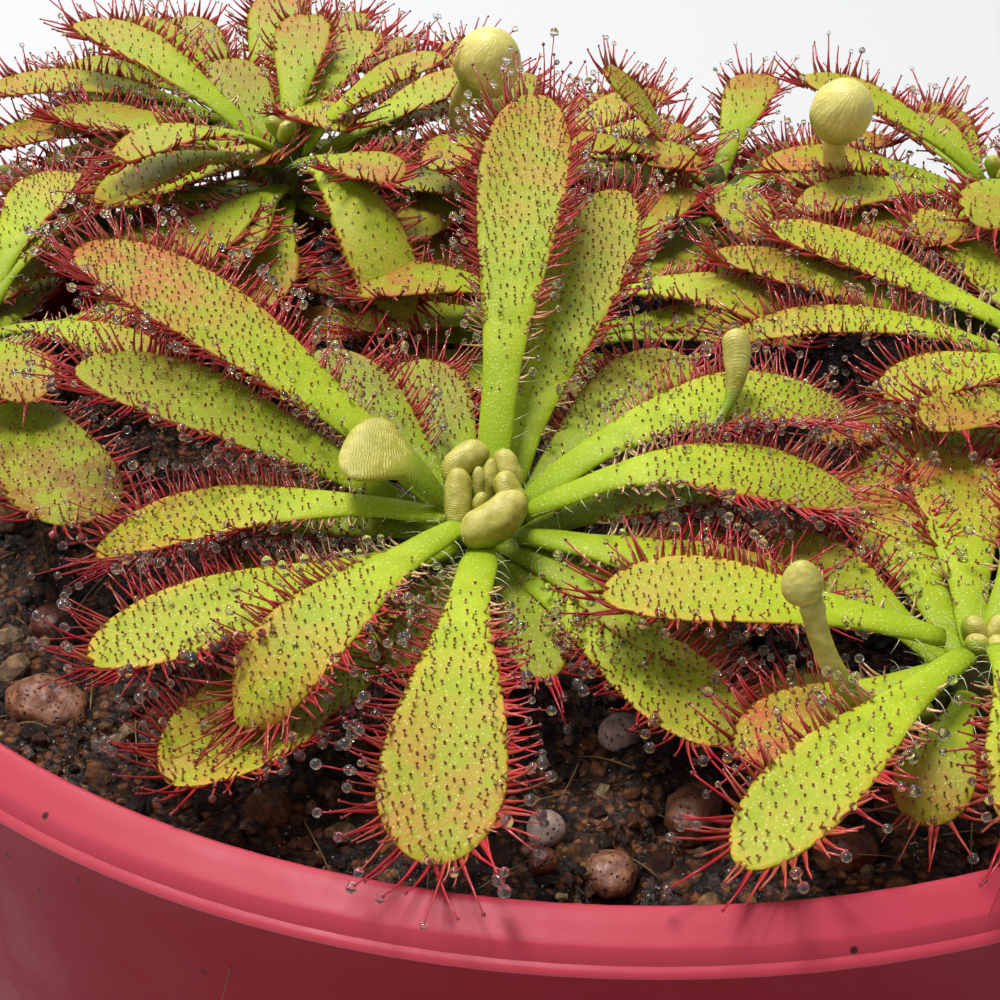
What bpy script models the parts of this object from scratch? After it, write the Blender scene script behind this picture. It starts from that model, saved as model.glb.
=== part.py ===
"""Potted sundew: a plastic pot of wet peat holding a low mound of sundew rosettes.

The origin is the middle of the pot's base, +Z is up and -Y is the front. Every plant is a
short stem with leaves round it. A leaf is given by its bearing, length, width, the slopes at
its foot and its tip and the height of its foot, in its plant's own leaning frame. The slopes
and heights keep the leaves at least 0.3 mm clear of each other, of the peat and of the rim.
"""
import math
from dataclasses import dataclass

import bmesh
import bpy
import numpy as np

MM = 0.001

# Pot, in millimetres
POT_HEIGHT = 84.0
RIM_RADIUS = 47.0
MOUTH_RADIUS = 44.5
RIM_BAND = 1.6
RIM_FALL = 0.45
LIP_DEPTH = 2.0
COLLAR_DEPTH = 38.0
COLLAR_TAPER = 0.048
SHOULDER = 2.5
SHOULDER_STEP = 1.5
LOWER_TAPER = 0.14
WALL = 1.5
FLOOR = 2.4
FOOT_HEIGHT = 1.2
FOOT_WIDTH = 3.0
POT_SIDES = 44
DRAIN_HOLES = 6
DRAIN_RADIUS = 1.9
DRAIN_RING = 22.0

# Peat and what lies in it, in millimetres
SOIL_DROP = 4.6
SOIL_LUMP = 0.75
SOIL_RINGS = 8
SOIL_SIDES = 36
GAP = 0.35

# Plants, in millimetres
STEM_RADIUS = 1.45
TOP_RISE = 4.4
STEM_SIDES = 8
CROWN_CAP = 0.8
ROOT_RADIUS = 1.8
ROOT_DEPTH = 4.0
LEAF_FOOT = 1.85
JOINED_FOOT = 0.95
FOOT_SPAN = 1.15
FOOT_TAPER = 2.5
PETIOLE_SHARE = 0.36
BLADE_START = 0.16
BLADE_FULL = 0.74
LEAF_THICKNESS = 0.64
LEAF_STATIONS = 9
JOINED_STATIONS = 7
COIL_COUNT = 5
COIL_RING = 1.9
COIL_SIZE = (0.8, 0.9, 1.25)
COIL_START = 128.0
COIL_HEART = 2.4
SHOOT_SIDES = 8
SHOOT_RINGS = 12


@dataclass(frozen=True)
class Leaf:
    """One leaf: angles in degrees in its plant's frame, sizes in millimetres."""

    name: str
    bearing: float
    length: float
    width: float
    lift: float
    droop: float
    rise: float
    bend: float = 1.0
    own_node: bool = True


@dataclass(frozen=True)
class Shoot:
    """A young leaf still rolled up: a bowed stalk with a round head, in millimetres."""

    name: str
    foot: tuple
    bow: tuple
    head: tuple
    stalk_radius: float
    head_radius: float


@dataclass(frozen=True)
class Stone:
    """A grain or clod half sunk in the peat, in millimetres."""

    name: str
    x: float
    y: float
    size: tuple
    turn: float
    material: str


@dataclass(frozen=True)
class Plant:
    """One rosette: its stem's place, its height over the peat and its lean."""

    name: str
    x: float
    y: float
    height: float
    lean: float
    lean_bearing: float
    leaves: tuple


def under(bearing, length, width, lift, droop, rise):
    """A leaf that is joined to its plant's stem in one solid."""
    return Leaf("", bearing, length, width, lift, droop, rise, own_node=False)


MAIN_LEAVES = (
    Leaf("front", 265, 20.5, 5.2, 15, 13, 4.2),
    Leaf("front_left_curled", 230, 15.5, 4.4, 12, 38, 3.4, bend=1.8),
    Leaf("front_left_broad", 229, 18.8, 5, -4, -10, 0.4),
    Leaf("left_narrow", 184, 18, 3.8, 21, 28, 2.6),
    Leaf("left_low", 210, 18.6, 4.6, 13, 2, 1.4),
    Leaf("unfolding", 168, 5.6, 3.2, 30, 0, 4.4),
    Leaf("rear_left_long", 146, 26, 5, 33, 0, 1.6),
    Leaf("rear", 84, 26, 5, 36, -6, 3),
    Leaf("rear_right", 71, 22.5, 4.8, 27, -8, 1.4),
    Leaf("right_broad", 27, 21.5, 5, 36, 40, 2.4),
    Leaf("right_long", 4, 17.5, 4.4, 27, 34, 3.6),
    Leaf("right_lower", 338, 15, 4.2, 12, 10, 2),
    Leaf("front_right", 309, 15.5, 4.6, 8, 3, 0.8),
    Leaf("under_left", 161, 21.5, 4.6, 34, 0, 0.4),
    under(356, 12.5, 4.2, 10, 6, 0),
    under(106, 15, 4.6, 12, 8, 0.4),
)
FRONT_RIGHT_LEAVES = (
    Leaf("front_long", 226, 16.3, 3.8, 12, 14, 3.2),
    Leaf("over_main", 172, 15.4, 4.6, 17, 10, 2.8),
    Leaf("outer", 266, 11, 4, 21, 32, 4),
    Leaf("short_front", 242, 7.4, 3.4, 14, 36, 1),
    Leaf("red", 206, 11, 4, 3, 8, 2),
    Leaf("short_left", 190, 9.4, 4, 9, 22, 0.4),
    under(20, 14, 4.2, 16, 12, 1),
    under(320, 13, 4.2, 11, 8, 1.8),
    under(60, 14, 4.2, 20, 10, 2.2),
    under(130, 12, 4, 19, 8, 0),
)
RIGHT_LEAVES = (
    Leaf("rear_long", 146, 19.6, 4.2, 18, 0, 3),
    Leaf("front", 201, 12.6, 4, 18, 12, 3.6),
    Leaf("arching", 172, 20, 3.4, 32, 24, 1.8),
    Leaf("low_front", 224, 14.5, 4.4, 12, 30, 1.2),
    Leaf("rear_right", 114, 16, 3.8, 18, -6, 1.8),
    Leaf("low_long", 155, 22, 4.2, 26, 2, 0.6),
    under(300, 14, 4.2, 8, 12, 0.6),
    under(10, 14, 4.2, 14, 10, 1.6),
    under(60, 14, 4.2, 16, 10, 0.4),
    under(340, 14, 4.2, 24, 10, 2.8),
    under(262, 13, 4.2, 14, 12, 2),
)
REAR_LEFT_LEAVES = (
    Leaf("forward", 299, 19, 4.8, 32, 60, 3),
    Leaf("rear_right", 32, 16, 4.4, 26, 0, 2),
    Leaf("rear_left", 145, 19, 4.6, 34, 0, 3),
    Leaf("rear", 72, 15, 4.4, 30, 4, 3),
    under(170, 17, 4.6, 26, 4, 1.6),
    under(250, 15, 4.6, 18, 12, 1),
    under(115, 14, 4.6, 32, -6, 0.6),
    under(345, 15, 4.6, 20, 10, 0.6),
    under(225, 15, 4.4, 34, 20, 2.6),
    under(10, 12.9, 4.4, 60, -5, 2.6),
)
FAR_LEFT_LEAVES = (
    under(180, 14, 4.6, 34, 4, 1),
    under(120, 15, 4.6, 34, 0, 2),
    under(60, 15, 4.6, 30, 0, 2.8),
    under(20, 14, 4.6, 28, 4, 1),
    under(150, 13, 4.4, 50, 4, 3.4),
    under(215, 13, 4.4, 43, 16, 2.2),
)
LEFT_LEAVES = (
    Leaf("front", 298, 23, 6.2, 3, 6, 1.4),
    Leaf("rear", 80, 15, 4.4, 42, 4, 3.8),
    under(335, 13, 4.4, 24, 26, 2.6),
    under(90, 16, 4.4, 14, 10, 0.6),
    under(250, 14, 4.4, 10, 16, 0.6),
    under(20, 14, 4.4, 20, 16, 1.4),
)
REAR_LEAVES = (
    under(190, 15, 4.4, 26, 5, 0.6),
    under(240, 15, 4.4, 20, 10, 1.6),
    under(290, 15, 4.4, 20, 10, 0.6),
    under(340, 11.4, 4.4, 21, 12, 1.6),
    under(40, 15, 4.4, 33, 6, 0.6),
    under(90, 15, 4.4, 24, 10, 1.6),
    under(10, 12.9, 4.4, 21, 10, 2.6),
    under(262, 12, 4.2, 40, 16, 3.4),
)
REAR_RIGHT_LEAVES = (
    Leaf("upright", 172, 11, 4.4, 66, -40, 3),
    under(250, 15, 4.4, 18, 8, 1),
    under(300, 15, 4.4, 16, 10, 2.2),
    under(345, 13, 4.4, 14, 10, 1),
    under(50, 13, 4.4, 8, 10, 1.8),
    under(100, 13, 4.4, 8, 10, 0.6),
    under(150, 13, 4.4, 16, 8, 1.6),
    under(275, 12, 4.2, 34, 16, 3.4),
)
MIDDLE_LEAVES = (
    under(10, 13, 4.2, 12, 14, 1),
    under(55, 12, 4.2, 14, 14, 2),
    under(130, 12, 4.2, 14, 14, 1),
    under(180, 13, 4.2, 12, 14, 2),
    under(215, 11, 4.2, 10, 14, 0.4),
    under(328, 12, 4.2, 8, 12, 0),
)
MIDDLE_LEFT_LEAVES = (
    Leaf("yellow", 335, 15, 4.2, 16, 14, 3),
    under(20, 12, 4.2, 36, 3, 1),
    under(290, 13, 4.2, 14, 16, 1),
    under(240, 12, 4.2, 22, 12, 2),
    under(150, 10, 4.2, 40, 6, 2.4),
)
FAR_RIGHT_LEAVES = (
    under(200, 15, 4.4, 24, 13, 3),
    under(150, 15, 4.4, 14, 12, 0.6),
    under(230, 14, 4.4, 16, 8, 1.4),
    under(280, 13, 4.4, 16, 10, 2.4),
    under(330, 14, 4.4, 18, 10, 1),
    under(60, 13, 4.4, 12, 12, 1.2),
    under(20, 13, 4.4, 24, 10, 2.4),
    under(110, 12, 4.4, 24, 10, 2.4),
    under(250, 12, 4.2, 36, 14, 4),
)

SHOOTS = (
    Shoot("front_right_crozier", (13.7, -32.0, 4.0), (8.9, -34.4, 2.4), (6.8, -33.0, 8.0), 0.5, 0.9),
    Shoot("inner_crozier", (7.4, -7.6, -3.6), (6.5, -9.0, 9.5), (5.8, -14.6, 9.6), 0.4, 0.75),
    Shoot("rear_bud", (-6.9, 24.4, 4.8), (-11.0, 23.4, 9.0), (-6.9, 22.2, 13.0), 0.6, 2.3),
    Shoot("far_right_bud", (25.8, 15.8, 5.0), (15.2, 16.6, 2.6), (16.1, 13.2, 12.4), 0.6, 2.0),
)

STONES = (
    Stone("pumice_grain_rear", -0.3, -29.4, (1.1, 1.0, 0.95), 20, "pumice"),
    Stone("pumice_grain_front", -4.0, -35.6, (0.95, 0.85, 0.8), 70, "pumice"),
    Stone("brown_clod", -1.3, -38.0, (1.25, 1.1, 0.9), 10, "clod"),
    Stone("left_stone", -29.6, -19.6, (1.5, 1.15, 0.9), 150, "brown_stone"),
)

PLANTS = (
    Plant("main", -6.7, -21.2, 4.0, 10, 270, MAIN_LEAVES),
    Plant("front_right", 15.5, -31.0, 3.4, 5, 270, FRONT_RIGHT_LEAVES),
    Plant("right", 28.0, -6.0, 5.0, 5, 270, RIGHT_LEAVES),
    Plant("rear_left", -21.0, 20.0, 9.0, 5, 270, REAR_LEFT_LEAVES),
    Plant("left", -38.0, 0.0, 5.0, 5, 90, LEFT_LEAVES),
    Plant("far_left", -25.0, 31.0, 8.0, 5, 270, FAR_LEFT_LEAVES),
    Plant("rear_right", 9.5, 23.0, 5.5, 5, 270, REAR_RIGHT_LEAVES),
    Plant("rear", -5.0, 25.0, 7.0, 5, 270, REAR_LEAVES),
    Plant("far_right", 28.0, 16.0, 7.0, 5, 270, FAR_RIGHT_LEAVES),
    Plant("middle", -2.0, 7.0, 2.6, 5, 270, MIDDLE_LEAVES),
    Plant("middle_left", -34.0, 17.0, 4.6, 5, 270, MIDDLE_LEFT_LEAVES),
)


def smooth_step(value):
    """A soft 0 to 1 ramp of a value between 0 and 1."""
    value = np.clip(value, 0.0, 1.0)
    return value * value * (3.0 - 2.0 * value)


def inner_radius(height):
    """Radius of the pot's inner wall at a height over its base."""
    shoulder = POT_HEIGHT - COLLAR_DEPTH
    collar_foot = MOUTH_RADIUS - COLLAR_TAPER * COLLAR_DEPTH
    lower_top = collar_foot - SHOULDER_STEP
    if height >= shoulder:
        return MOUTH_RADIUS - COLLAR_TAPER * (POT_HEIGHT - height)
    if height >= shoulder - SHOULDER:
        return collar_foot - SHOULDER_STEP * (shoulder - height) / SHOULDER
    return lower_top - LOWER_TAPER * (shoulder - SHOULDER - height)


def soil_height(x, y):
    """Height of the peat's lumpy top over the pot's base, in millimetres."""
    lumps = np.sin(0.41 * x + 1.3) * np.sin(0.37 * y + 0.4) + 0.6 * np.sin(0.83 * x - 0.61 * y)
    return POT_HEIGHT - SOIL_DROP + SOIL_LUMP * lumps


def plant_frame(plant):
    """The stem's foot and the axes, as columns, of the plant's leaning frame."""
    bearing = math.radians(plant.lean_bearing)
    lean = math.radians(plant.lean)
    across = np.array([-math.sin(bearing), math.cos(bearing), 0.0])
    towards = np.array([math.cos(bearing), math.sin(bearing), 0.0])
    axis = math.sin(lean) * towards + math.cos(lean) * np.array([0.0, 0.0, 1.0])
    leaning = math.cos(lean) * towards - math.sin(lean) * np.array([0.0, 0.0, 1.0])
    turned = np.stack([leaning, across, axis], axis=1)
    level = np.stack([towards, across, np.array([0.0, 0.0, 1.0])], axis=1)
    foot = np.array([plant.x, plant.y, soil_height(plant.x, plant.y) + plant.height])
    return foot, turned @ level.T


def leaf_width(leaf, share):
    """Width of the leaf at a share of its length, 0 at its foot and 1 at its tip."""
    blade = PETIOLE_SHARE + (1.0 - PETIOLE_SHARE) * smooth_step(
        (share - BLADE_START) / (BLADE_FULL - BLADE_START))
    tip = np.clip((share - BLADE_FULL) / (1.0 - BLADE_FULL), 0.0, 1.0)
    rounded = np.sqrt(np.clip(1.0 - 0.96 * tip * tip, 0.0, 1.0))
    full = leaf.width * blade * rounded
    foot = smooth_step(share * leaf.length / FOOT_TAPER)
    return FOOT_SPAN + (full - FOOT_SPAN) * foot


def leaf_frames(plant, leaf, shares):
    """Points, forward, sideways and upward directions along a leaf, in millimetres."""
    origin, axes = plant_frame(plant)
    fine = np.linspace(0.0, 1.0, 61)
    middle = (fine[1:] + fine[:-1]) / 2.0
    slope = np.radians(leaf.lift - (leaf.lift + leaf.droop) * middle ** leaf.bend)
    bearing = math.radians(leaf.bearing)
    step = leaf.length / (len(fine) - 1)
    forward = np.stack([math.cos(bearing) * np.cos(slope),
                        math.sin(bearing) * np.cos(slope), np.sin(slope)], axis=1)
    foot_radius = LEAF_FOOT if leaf.own_node else JOINED_FOOT
    foot = np.array([foot_radius * math.cos(bearing), foot_radius * math.sin(bearing), leaf.rise])
    line = np.vstack([foot, foot + np.cumsum(forward * step, axis=0)])
    points = np.stack([np.interp(shares, fine, line[:, axis]) for axis in range(3)], axis=1)
    ahead = np.stack([np.interp(shares, middle, forward[:, axis]) for axis in range(3)], axis=1)
    ahead /= np.linalg.norm(ahead, axis=1, keepdims=True)
    side = np.cross(np.array([0.0, 0.0, 1.0]), ahead)
    side /= np.linalg.norm(side, axis=1, keepdims=True)
    upward = np.cross(ahead, side)
    return points @ axes.T + origin, ahead @ axes.T, side @ axes.T, upward @ axes.T


def material(name, colour, roughness, metallic=0.0):
    """A Principled material, made once and then shared."""
    made = bpy.data.materials.get(name)
    if made is None:
        made = bpy.data.materials.new(name)
        made.use_nodes = True
        shader = made.node_tree.nodes["Principled BSDF"]
        shader.inputs["Base Color"].default_value = (*colour, 1.0)
        shader.inputs["Roughness"].default_value = roughness
        shader.inputs["Metallic"].default_value = metallic
    return made


MATERIALS = {
    "pot": ((0.38, 0.05, 0.075), 0.42),
    "soil": ((0.022, 0.013, 0.009), 0.6),
    "pumice": ((0.42, 0.38, 0.32), 0.7),
    "clod": ((0.12, 0.055, 0.03), 0.75),
    "brown_stone": ((0.2, 0.11, 0.085), 0.6),
    "leaf": ((0.28, 0.46, 0.04), 0.4),
    "young": ((0.62, 0.66, 0.32), 0.45),
    "stem": ((0.16, 0.14, 0.05), 0.6),
}


def add_object(name, verts, faces, finish=None):
    """A named object from points in millimetres, with its faces turned outwards."""
    mesh = bpy.data.meshes.new(name)
    mesh.from_pydata([tuple(float(value) * MM for value in point) for point in verts], [], faces)
    shape = bmesh.new()
    shape.from_mesh(mesh)
    bmesh.ops.recalc_face_normals(shape, faces=shape.faces)
    shape.to_mesh(mesh)
    shape.free()
    mesh.shade_smooth()
    mesh.set_sharp_from_angle(angle=math.radians(40))
    made = bpy.data.objects.new(name, mesh)
    bpy.context.scene.collection.objects.link(made)
    if finish:
        mesh.materials.append(material(finish, *MATERIALS[finish]))
    else:
        made.hide_render = True
        made.display_type = "WIRE"
    return made


def join_rings(rings, first_pole=False, last_pole=False):
    """Points and faces of a tube through rings, with a flat or a pointed closing at each end."""
    sides = len(rings[1])
    verts = [tuple(point) for ring in rings for point in ring]
    starts = np.cumsum([0] + [len(ring) for ring in rings])
    faces = []
    for index in range(len(rings) - 1):
        here, there = int(starts[index]), int(starts[index + 1])
        for side in range(sides):
            after = (side + 1) % sides
            if index == 0 and first_pole:
                faces.append((here, there + side, there + after))
            elif index == len(rings) - 2 and last_pole:
                faces.append((here + side, there, here + after))
            else:
                faces.append((here + side, there + side, there + after, here + after))
    if not first_pole:
        faces.append(tuple(range(sides)))
    if not last_pole:
        last = int(starts[-2])
        faces.append(tuple(range(last, last + sides)))
    return verts, faces


def turned(profile, sides, origin=(0.0, 0.0, 0.0), axes=None):
    """Points and faces of a profile of radius and height turned about an axis."""
    axes = np.eye(3) if axes is None else axes
    angles = np.arange(sides) * 2.0 * math.pi / sides
    rings = []
    for radius, height in profile:
        if radius == 0.0:
            ring = np.array([[0.0, 0.0, height]])
        else:
            ring = np.stack([radius * np.cos(angles), radius * np.sin(angles),
                             np.full(sides, height)], axis=1)
        rings.append(ring @ axes.T + np.array(origin))
    return join_rings(rings, profile[0][0] == 0.0, profile[-1][0] == 0.0)


def combine(target, tool, operation):
    """Cut one object by another, or join the two, with a Boolean modifier."""
    modifier = target.modifiers.new(operation.title(), "BOOLEAN")
    modifier.operation = operation
    modifier.object = tool
    modifier.solver = "EXACT"


def pot_profile():
    """The pot's section from the middle of its underside, round the rim, to its floor."""
    shoulder = POT_HEIGHT - COLLAR_DEPTH
    lower_top = shoulder - SHOULDER
    base = inner_radius(0.0) + WALL
    outside = [(inner_radius(height) + WALL, height)
               for height in (0.6, lower_top, shoulder - 0.6 * SHOULDER, shoulder)]
    lip = POT_HEIGHT - LIP_DEPTH
    outside += [(inner_radius(lip) + WALL, lip - 0.5)]
    crease = MOUTH_RADIUS + RIM_BAND
    rim = [(RIM_RADIUS - 0.15, lip - 0.1), (RIM_RADIUS, lip + 0.4), (RIM_RADIUS - 0.05, lip + 0.9),
           (crease + 0.25, POT_HEIGHT - RIM_FALL - 0.35), (crease, POT_HEIGHT - RIM_FALL - 0.1),
           (crease - 0.5, POT_HEIGHT - 0.12), (MOUTH_RADIUS + 0.5, POT_HEIGHT),
           (MOUTH_RADIUS + 0.1, POT_HEIGHT - 0.15), (MOUTH_RADIUS, POT_HEIGHT - 0.6)]
    inside = [(inner_radius(height), height)
              for height in (POT_HEIGHT - 3.0, shoulder, lower_top, FLOOR + 1.0)]
    return ([(0.0, FOOT_HEIGHT), (base - FOOT_WIDTH - 0.6, FOOT_HEIGHT), (base - FOOT_WIDTH, 0.0),
             (base - 0.5, 0.0)] + outside + rim + inside
            + [(inner_radius(FLOOR) - 1.0, FLOOR), (0.0, FLOOR)])


def build_pot():
    """The pot, with its ring of drain holes and one in the middle."""
    pot = add_object("pot", *turned(pot_profile(), POT_SIDES), "pot")
    verts = []
    faces = []
    places = [(0.0, 0.0)]
    for index in range(DRAIN_HOLES):
        angle = 2.0 * math.pi * (index + 0.5) / DRAIN_HOLES
        places.append((DRAIN_RING * math.cos(angle), DRAIN_RING * math.sin(angle)))
    for x, y in places:
        hole_verts, hole_faces = turned([(0.0, -2.0), (DRAIN_RADIUS, -2.0),
                                         (DRAIN_RADIUS, FLOOR + 2.0), (0.0, FLOOR + 2.0)],
                                        10, (x, y, 0.0))
        faces += [tuple(corner + len(verts) for corner in face) for face in hole_faces]
        verts += hole_verts
    combine(pot, add_object("drain_cutter", verts, faces), "DIFFERENCE")


def build_soil():
    """The wet peat that fills the pot, lumpy on top, with a pocket for every root and stone."""
    angles = np.arange(SOIL_SIDES) * 2.0 * math.pi / SOIL_SIDES
    edge = inner_radius(POT_HEIGHT - SOIL_DROP) - GAP
    rings = [np.array([[0.0, 0.0, soil_height(0.0, 0.0)]])]
    for index in range(1, SOIL_RINGS + 1):
        radius = edge * index / SOIL_RINGS
        x, y = radius * np.cos(angles), radius * np.sin(angles)
        rings.append(np.stack([x, y, soil_height(x, y)], axis=1))
    shoulder = POT_HEIGHT - COLLAR_DEPTH
    for height in (shoulder + 0.5, shoulder - SHOULDER - 0.5, FLOOR + 1.5, FLOOR + GAP):
        radius = inner_radius(height) - GAP - (1.2 if height < FLOOR + 1.0 else 0.0)
        rings.append(np.stack([radius * np.cos(angles), radius * np.sin(angles),
                               np.full(SOIL_SIDES, height)], axis=1))
    rings.append(np.array([[0.0, 0.0, FLOOR + GAP]]))
    soil = add_object("soil", *join_rings(rings, True, True), "soil")
    verts = []
    faces = []
    for plant in PLANTS:
        origin, axes = plant_frame(plant)
        depth = -plant.height - ROOT_DEPTH - GAP
        wide = ROOT_RADIUS + GAP
        pocket = turned([(0.0, depth), (wide, depth), (wide, 0.0), (0.0, 0.0)],
                        STEM_SIDES, origin, axes)
        faces += [tuple(corner + len(verts) for corner in face) for face in pocket[1]]
        verts += pocket[0]
    for stone in STONES:
        pocket = stone_shape(stone, GAP)
        faces += [tuple(corner + len(verts) for corner in face) for face in pocket[1]]
        verts += pocket[0]
    combine(soil, add_object("pocket_cutter", verts, faces), "DIFFERENCE")


def stone_shape(stone, grow=0.0):
    """Points and faces of a rounded stone sunk to its middle in the peat."""
    shape = bmesh.new()
    bmesh.ops.create_icosphere(shape, subdivisions=1, radius=1.0)
    turn = math.radians(stone.turn)
    height = float(soil_height(stone.x, stone.y)) + 0.25 * stone.size[2]
    verts = []
    for vert in shape.verts:
        x, y, z = (coordinate * (size + grow) for coordinate, size in zip(vert.co, stone.size))
        verts.append((stone.x + x * math.cos(turn) - y * math.sin(turn),
                      stone.y + x * math.sin(turn) + y * math.cos(turn), height + z))
    faces = [tuple(vert.index for vert in face.verts) for face in shape.faces]
    shape.free()
    return verts, faces


def leaf_shape(plant, leaf):
    """Points and faces of a leaf: six-sided sections from its foot to its tip."""
    stations = LEAF_STATIONS if leaf.own_node else JOINED_STATIONS
    shares = np.sin(np.linspace(0.0, math.pi / 2.0, stations))
    points, _, side, upward = leaf_frames(plant, leaf, shares)
    half = leaf_width(leaf, shares)[:, None] / 2.0
    thick = LEAF_THICKNESS / 2.0
    section = ((-1.0, 0.0), (-0.5, 1.0), (0.5, 1.0), (1.0, 0.0), (0.5, -1.0), (-0.5, -1.0))
    corners = [points + side * half * across + upward * thick * up for across, up in section]
    return join_rings(np.stack(corners, axis=1))


def stem_profile(plant):
    """The stem's section from the root's tip up to the crown, in the plant's frame."""
    cap = TOP_RISE + (COIL_HEART if plant.name == "main" else CROWN_CAP)
    below = -plant.height
    return [(0.0, below - ROOT_DEPTH), (0.8, below - ROOT_DEPTH), (ROOT_RADIUS, below - 1.0),
            (ROOT_RADIUS, below + 0.4), (STEM_RADIUS, below + 1.4), (STEM_RADIUS, TOP_RISE),
            (0.75, TOP_RISE + 0.45), (0.65, cap - 0.25), (0.0, cap)]


def build_plant(plant):
    """A plant's stem, with the leaves that grow in one with it, and its separate leaves."""
    origin, axes = plant_frame(plant)
    crown = add_object(plant.name + "_crown",
                       *turned(stem_profile(plant), STEM_SIDES, origin, axes), "stem")
    verts = []
    faces = []
    for leaf in plant.leaves:
        shape = leaf_shape(plant, leaf)
        if leaf.own_node:
            add_object(plant.name + "_leaf_" + leaf.name, *shape, "leaf")
        else:
            faces += [tuple(corner + len(verts) for corner in face) for face in shape[1]]
            verts += shape[0]
    if verts:
        combine(crown, add_object(plant.name + "_joined_leaves", verts, faces), "UNION")


def build_coils(plant):
    """The ring of young leaves, still rolled up, on top of the main plant's crown."""
    origin, axes = plant_frame(plant)
    radial, tangent, tall = COIL_SIZE
    height = TOP_RISE + LEAF_THICKNESS / 2.0 + GAP + tall
    for index in range(COIL_COUNT):
        angle = math.radians(COIL_START + index * 360.0 / COIL_COUNT)
        outward = np.array([math.cos(angle), math.sin(angle), 0.0])
        sideways = np.array([-math.sin(angle), math.cos(angle), 0.0])
        frame = np.stack([outward, sideways, np.array([0.0, 0.0, 1.0])], axis=1)
        middle = COIL_RING * outward + np.array([0.0, 0.0, height])
        tilts = np.linspace(0.0, math.pi, 7)
        verts, faces = turned([(0.0, -1.0)] + [(math.sin(tilt), -math.cos(tilt))
                                               for tilt in tilts[1:-1]] + [(0.0, 1.0)], 10)
        verts = np.array(verts) * np.array([radial, tangent, tall])
        add_object(f"{plant.name}_coil_{index + 1}",
                   (verts @ frame.T + middle) @ axes.T + origin, faces, "young")


def shoot_line(shoot, shares):
    """Points and directions along a shoot's bowed stalk and through its head."""
    foot, bow, head = (np.array(point) for point in (shoot.foot, shoot.bow, shoot.head))
    share = np.asarray(shares)[:, None]
    points = (1 - share) ** 2 * foot + 2 * share * (1 - share) * bow + share ** 2 * head
    ahead = 2 * (1 - share) * (bow - foot) + 2 * share * (head - bow)
    ahead /= np.linalg.norm(ahead, axis=1, keepdims=True)
    points[:, 2] += POT_HEIGHT
    return points, ahead


def shoot_rings(shoot):
    """Middle, direction and radius of each ring along a shoot, its round head last."""
    points, ahead = shoot_line(shoot, np.linspace(0.0, 1.0, 41))
    lengths = np.concatenate([[0.0], np.cumsum(np.linalg.norm(np.diff(points, axis=0), axis=1))])
    head_start = lengths[-1] - shoot.head_radius * math.cos(math.asin(
        min(0.95, shoot.stalk_radius / shoot.head_radius)))
    stalk = np.linspace(0.0, head_start, SHOOT_RINGS // 2)
    places = np.stack([np.interp(stalk, lengths, points[:, axis]) for axis in range(3)], axis=1)
    headings = np.stack([np.interp(stalk, lengths, ahead[:, axis]) for axis in range(3)], axis=1)
    radii = np.full(len(stalk), shoot.stalk_radius)
    lowest = math.asin(min(0.95, shoot.stalk_radius / shoot.head_radius))
    tilts = np.linspace(lowest, math.radians(165), SHOOT_RINGS - SHOOT_RINGS // 2 + 1)[1:]
    end = ahead[-1]
    ball = points[-1] - end * np.cos(tilts)[:, None] * shoot.head_radius
    return (np.vstack([places, ball]), np.vstack([headings, np.tile(end, (len(tilts), 1))]),
            np.concatenate([radii, shoot.head_radius * np.sin(tilts)]))


def build_shoot(shoot):
    """A rolled-up young leaf on its stalk."""
    places, headings, radii = shoot_rings(shoot)
    rings = []
    angles = np.arange(SHOOT_SIDES) * 2.0 * math.pi / SHOOT_SIDES
    for place, heading, radius in zip(places, headings, radii):
        heading = heading / np.linalg.norm(heading)
        across = np.cross(heading, np.array([0.0, 1.0, 0.0]))
        across /= np.linalg.norm(across)
        other = np.cross(heading, across)
        rings.append(place + radius * (np.cos(angles)[:, None] * across
                                       + np.sin(angles)[:, None] * other))
    add_object(shoot.name, *join_rings(rings), "young")


def main():
    """Clear the scene and build the pot, the peat, its stones and every plant."""
    for old in list(bpy.data.objects):
        bpy.data.objects.remove(old, do_unlink=True)
    build_pot()
    build_soil()
    for stone in STONES:
        add_object(stone.name, *stone_shape(stone), stone.material)
    for plant in PLANTS:
        build_plant(plant)
    build_coils(PLANTS[0])
    for shoot in SHOOTS:
        build_shoot(shoot)


if __name__ == "__main__":
    main()
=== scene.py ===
"""Looks of the potted sundew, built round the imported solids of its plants, its peat and its pot.

Sizes in the dataclasses are in millimetres, as a grower would state them, and become metres
where a mesh is made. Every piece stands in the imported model's own frame: +Z is up and -Y is the
front. A leaf is drawn by the same rule as its solid, as a fine surface with attributes that
colour it and say where its tentacles grow, and Geometry Nodes grow them.
"""
from __future__ import annotations

import logging
import math
from dataclasses import dataclass, field
from enum import Enum
from typing import Any, Iterable, Sequence

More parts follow.
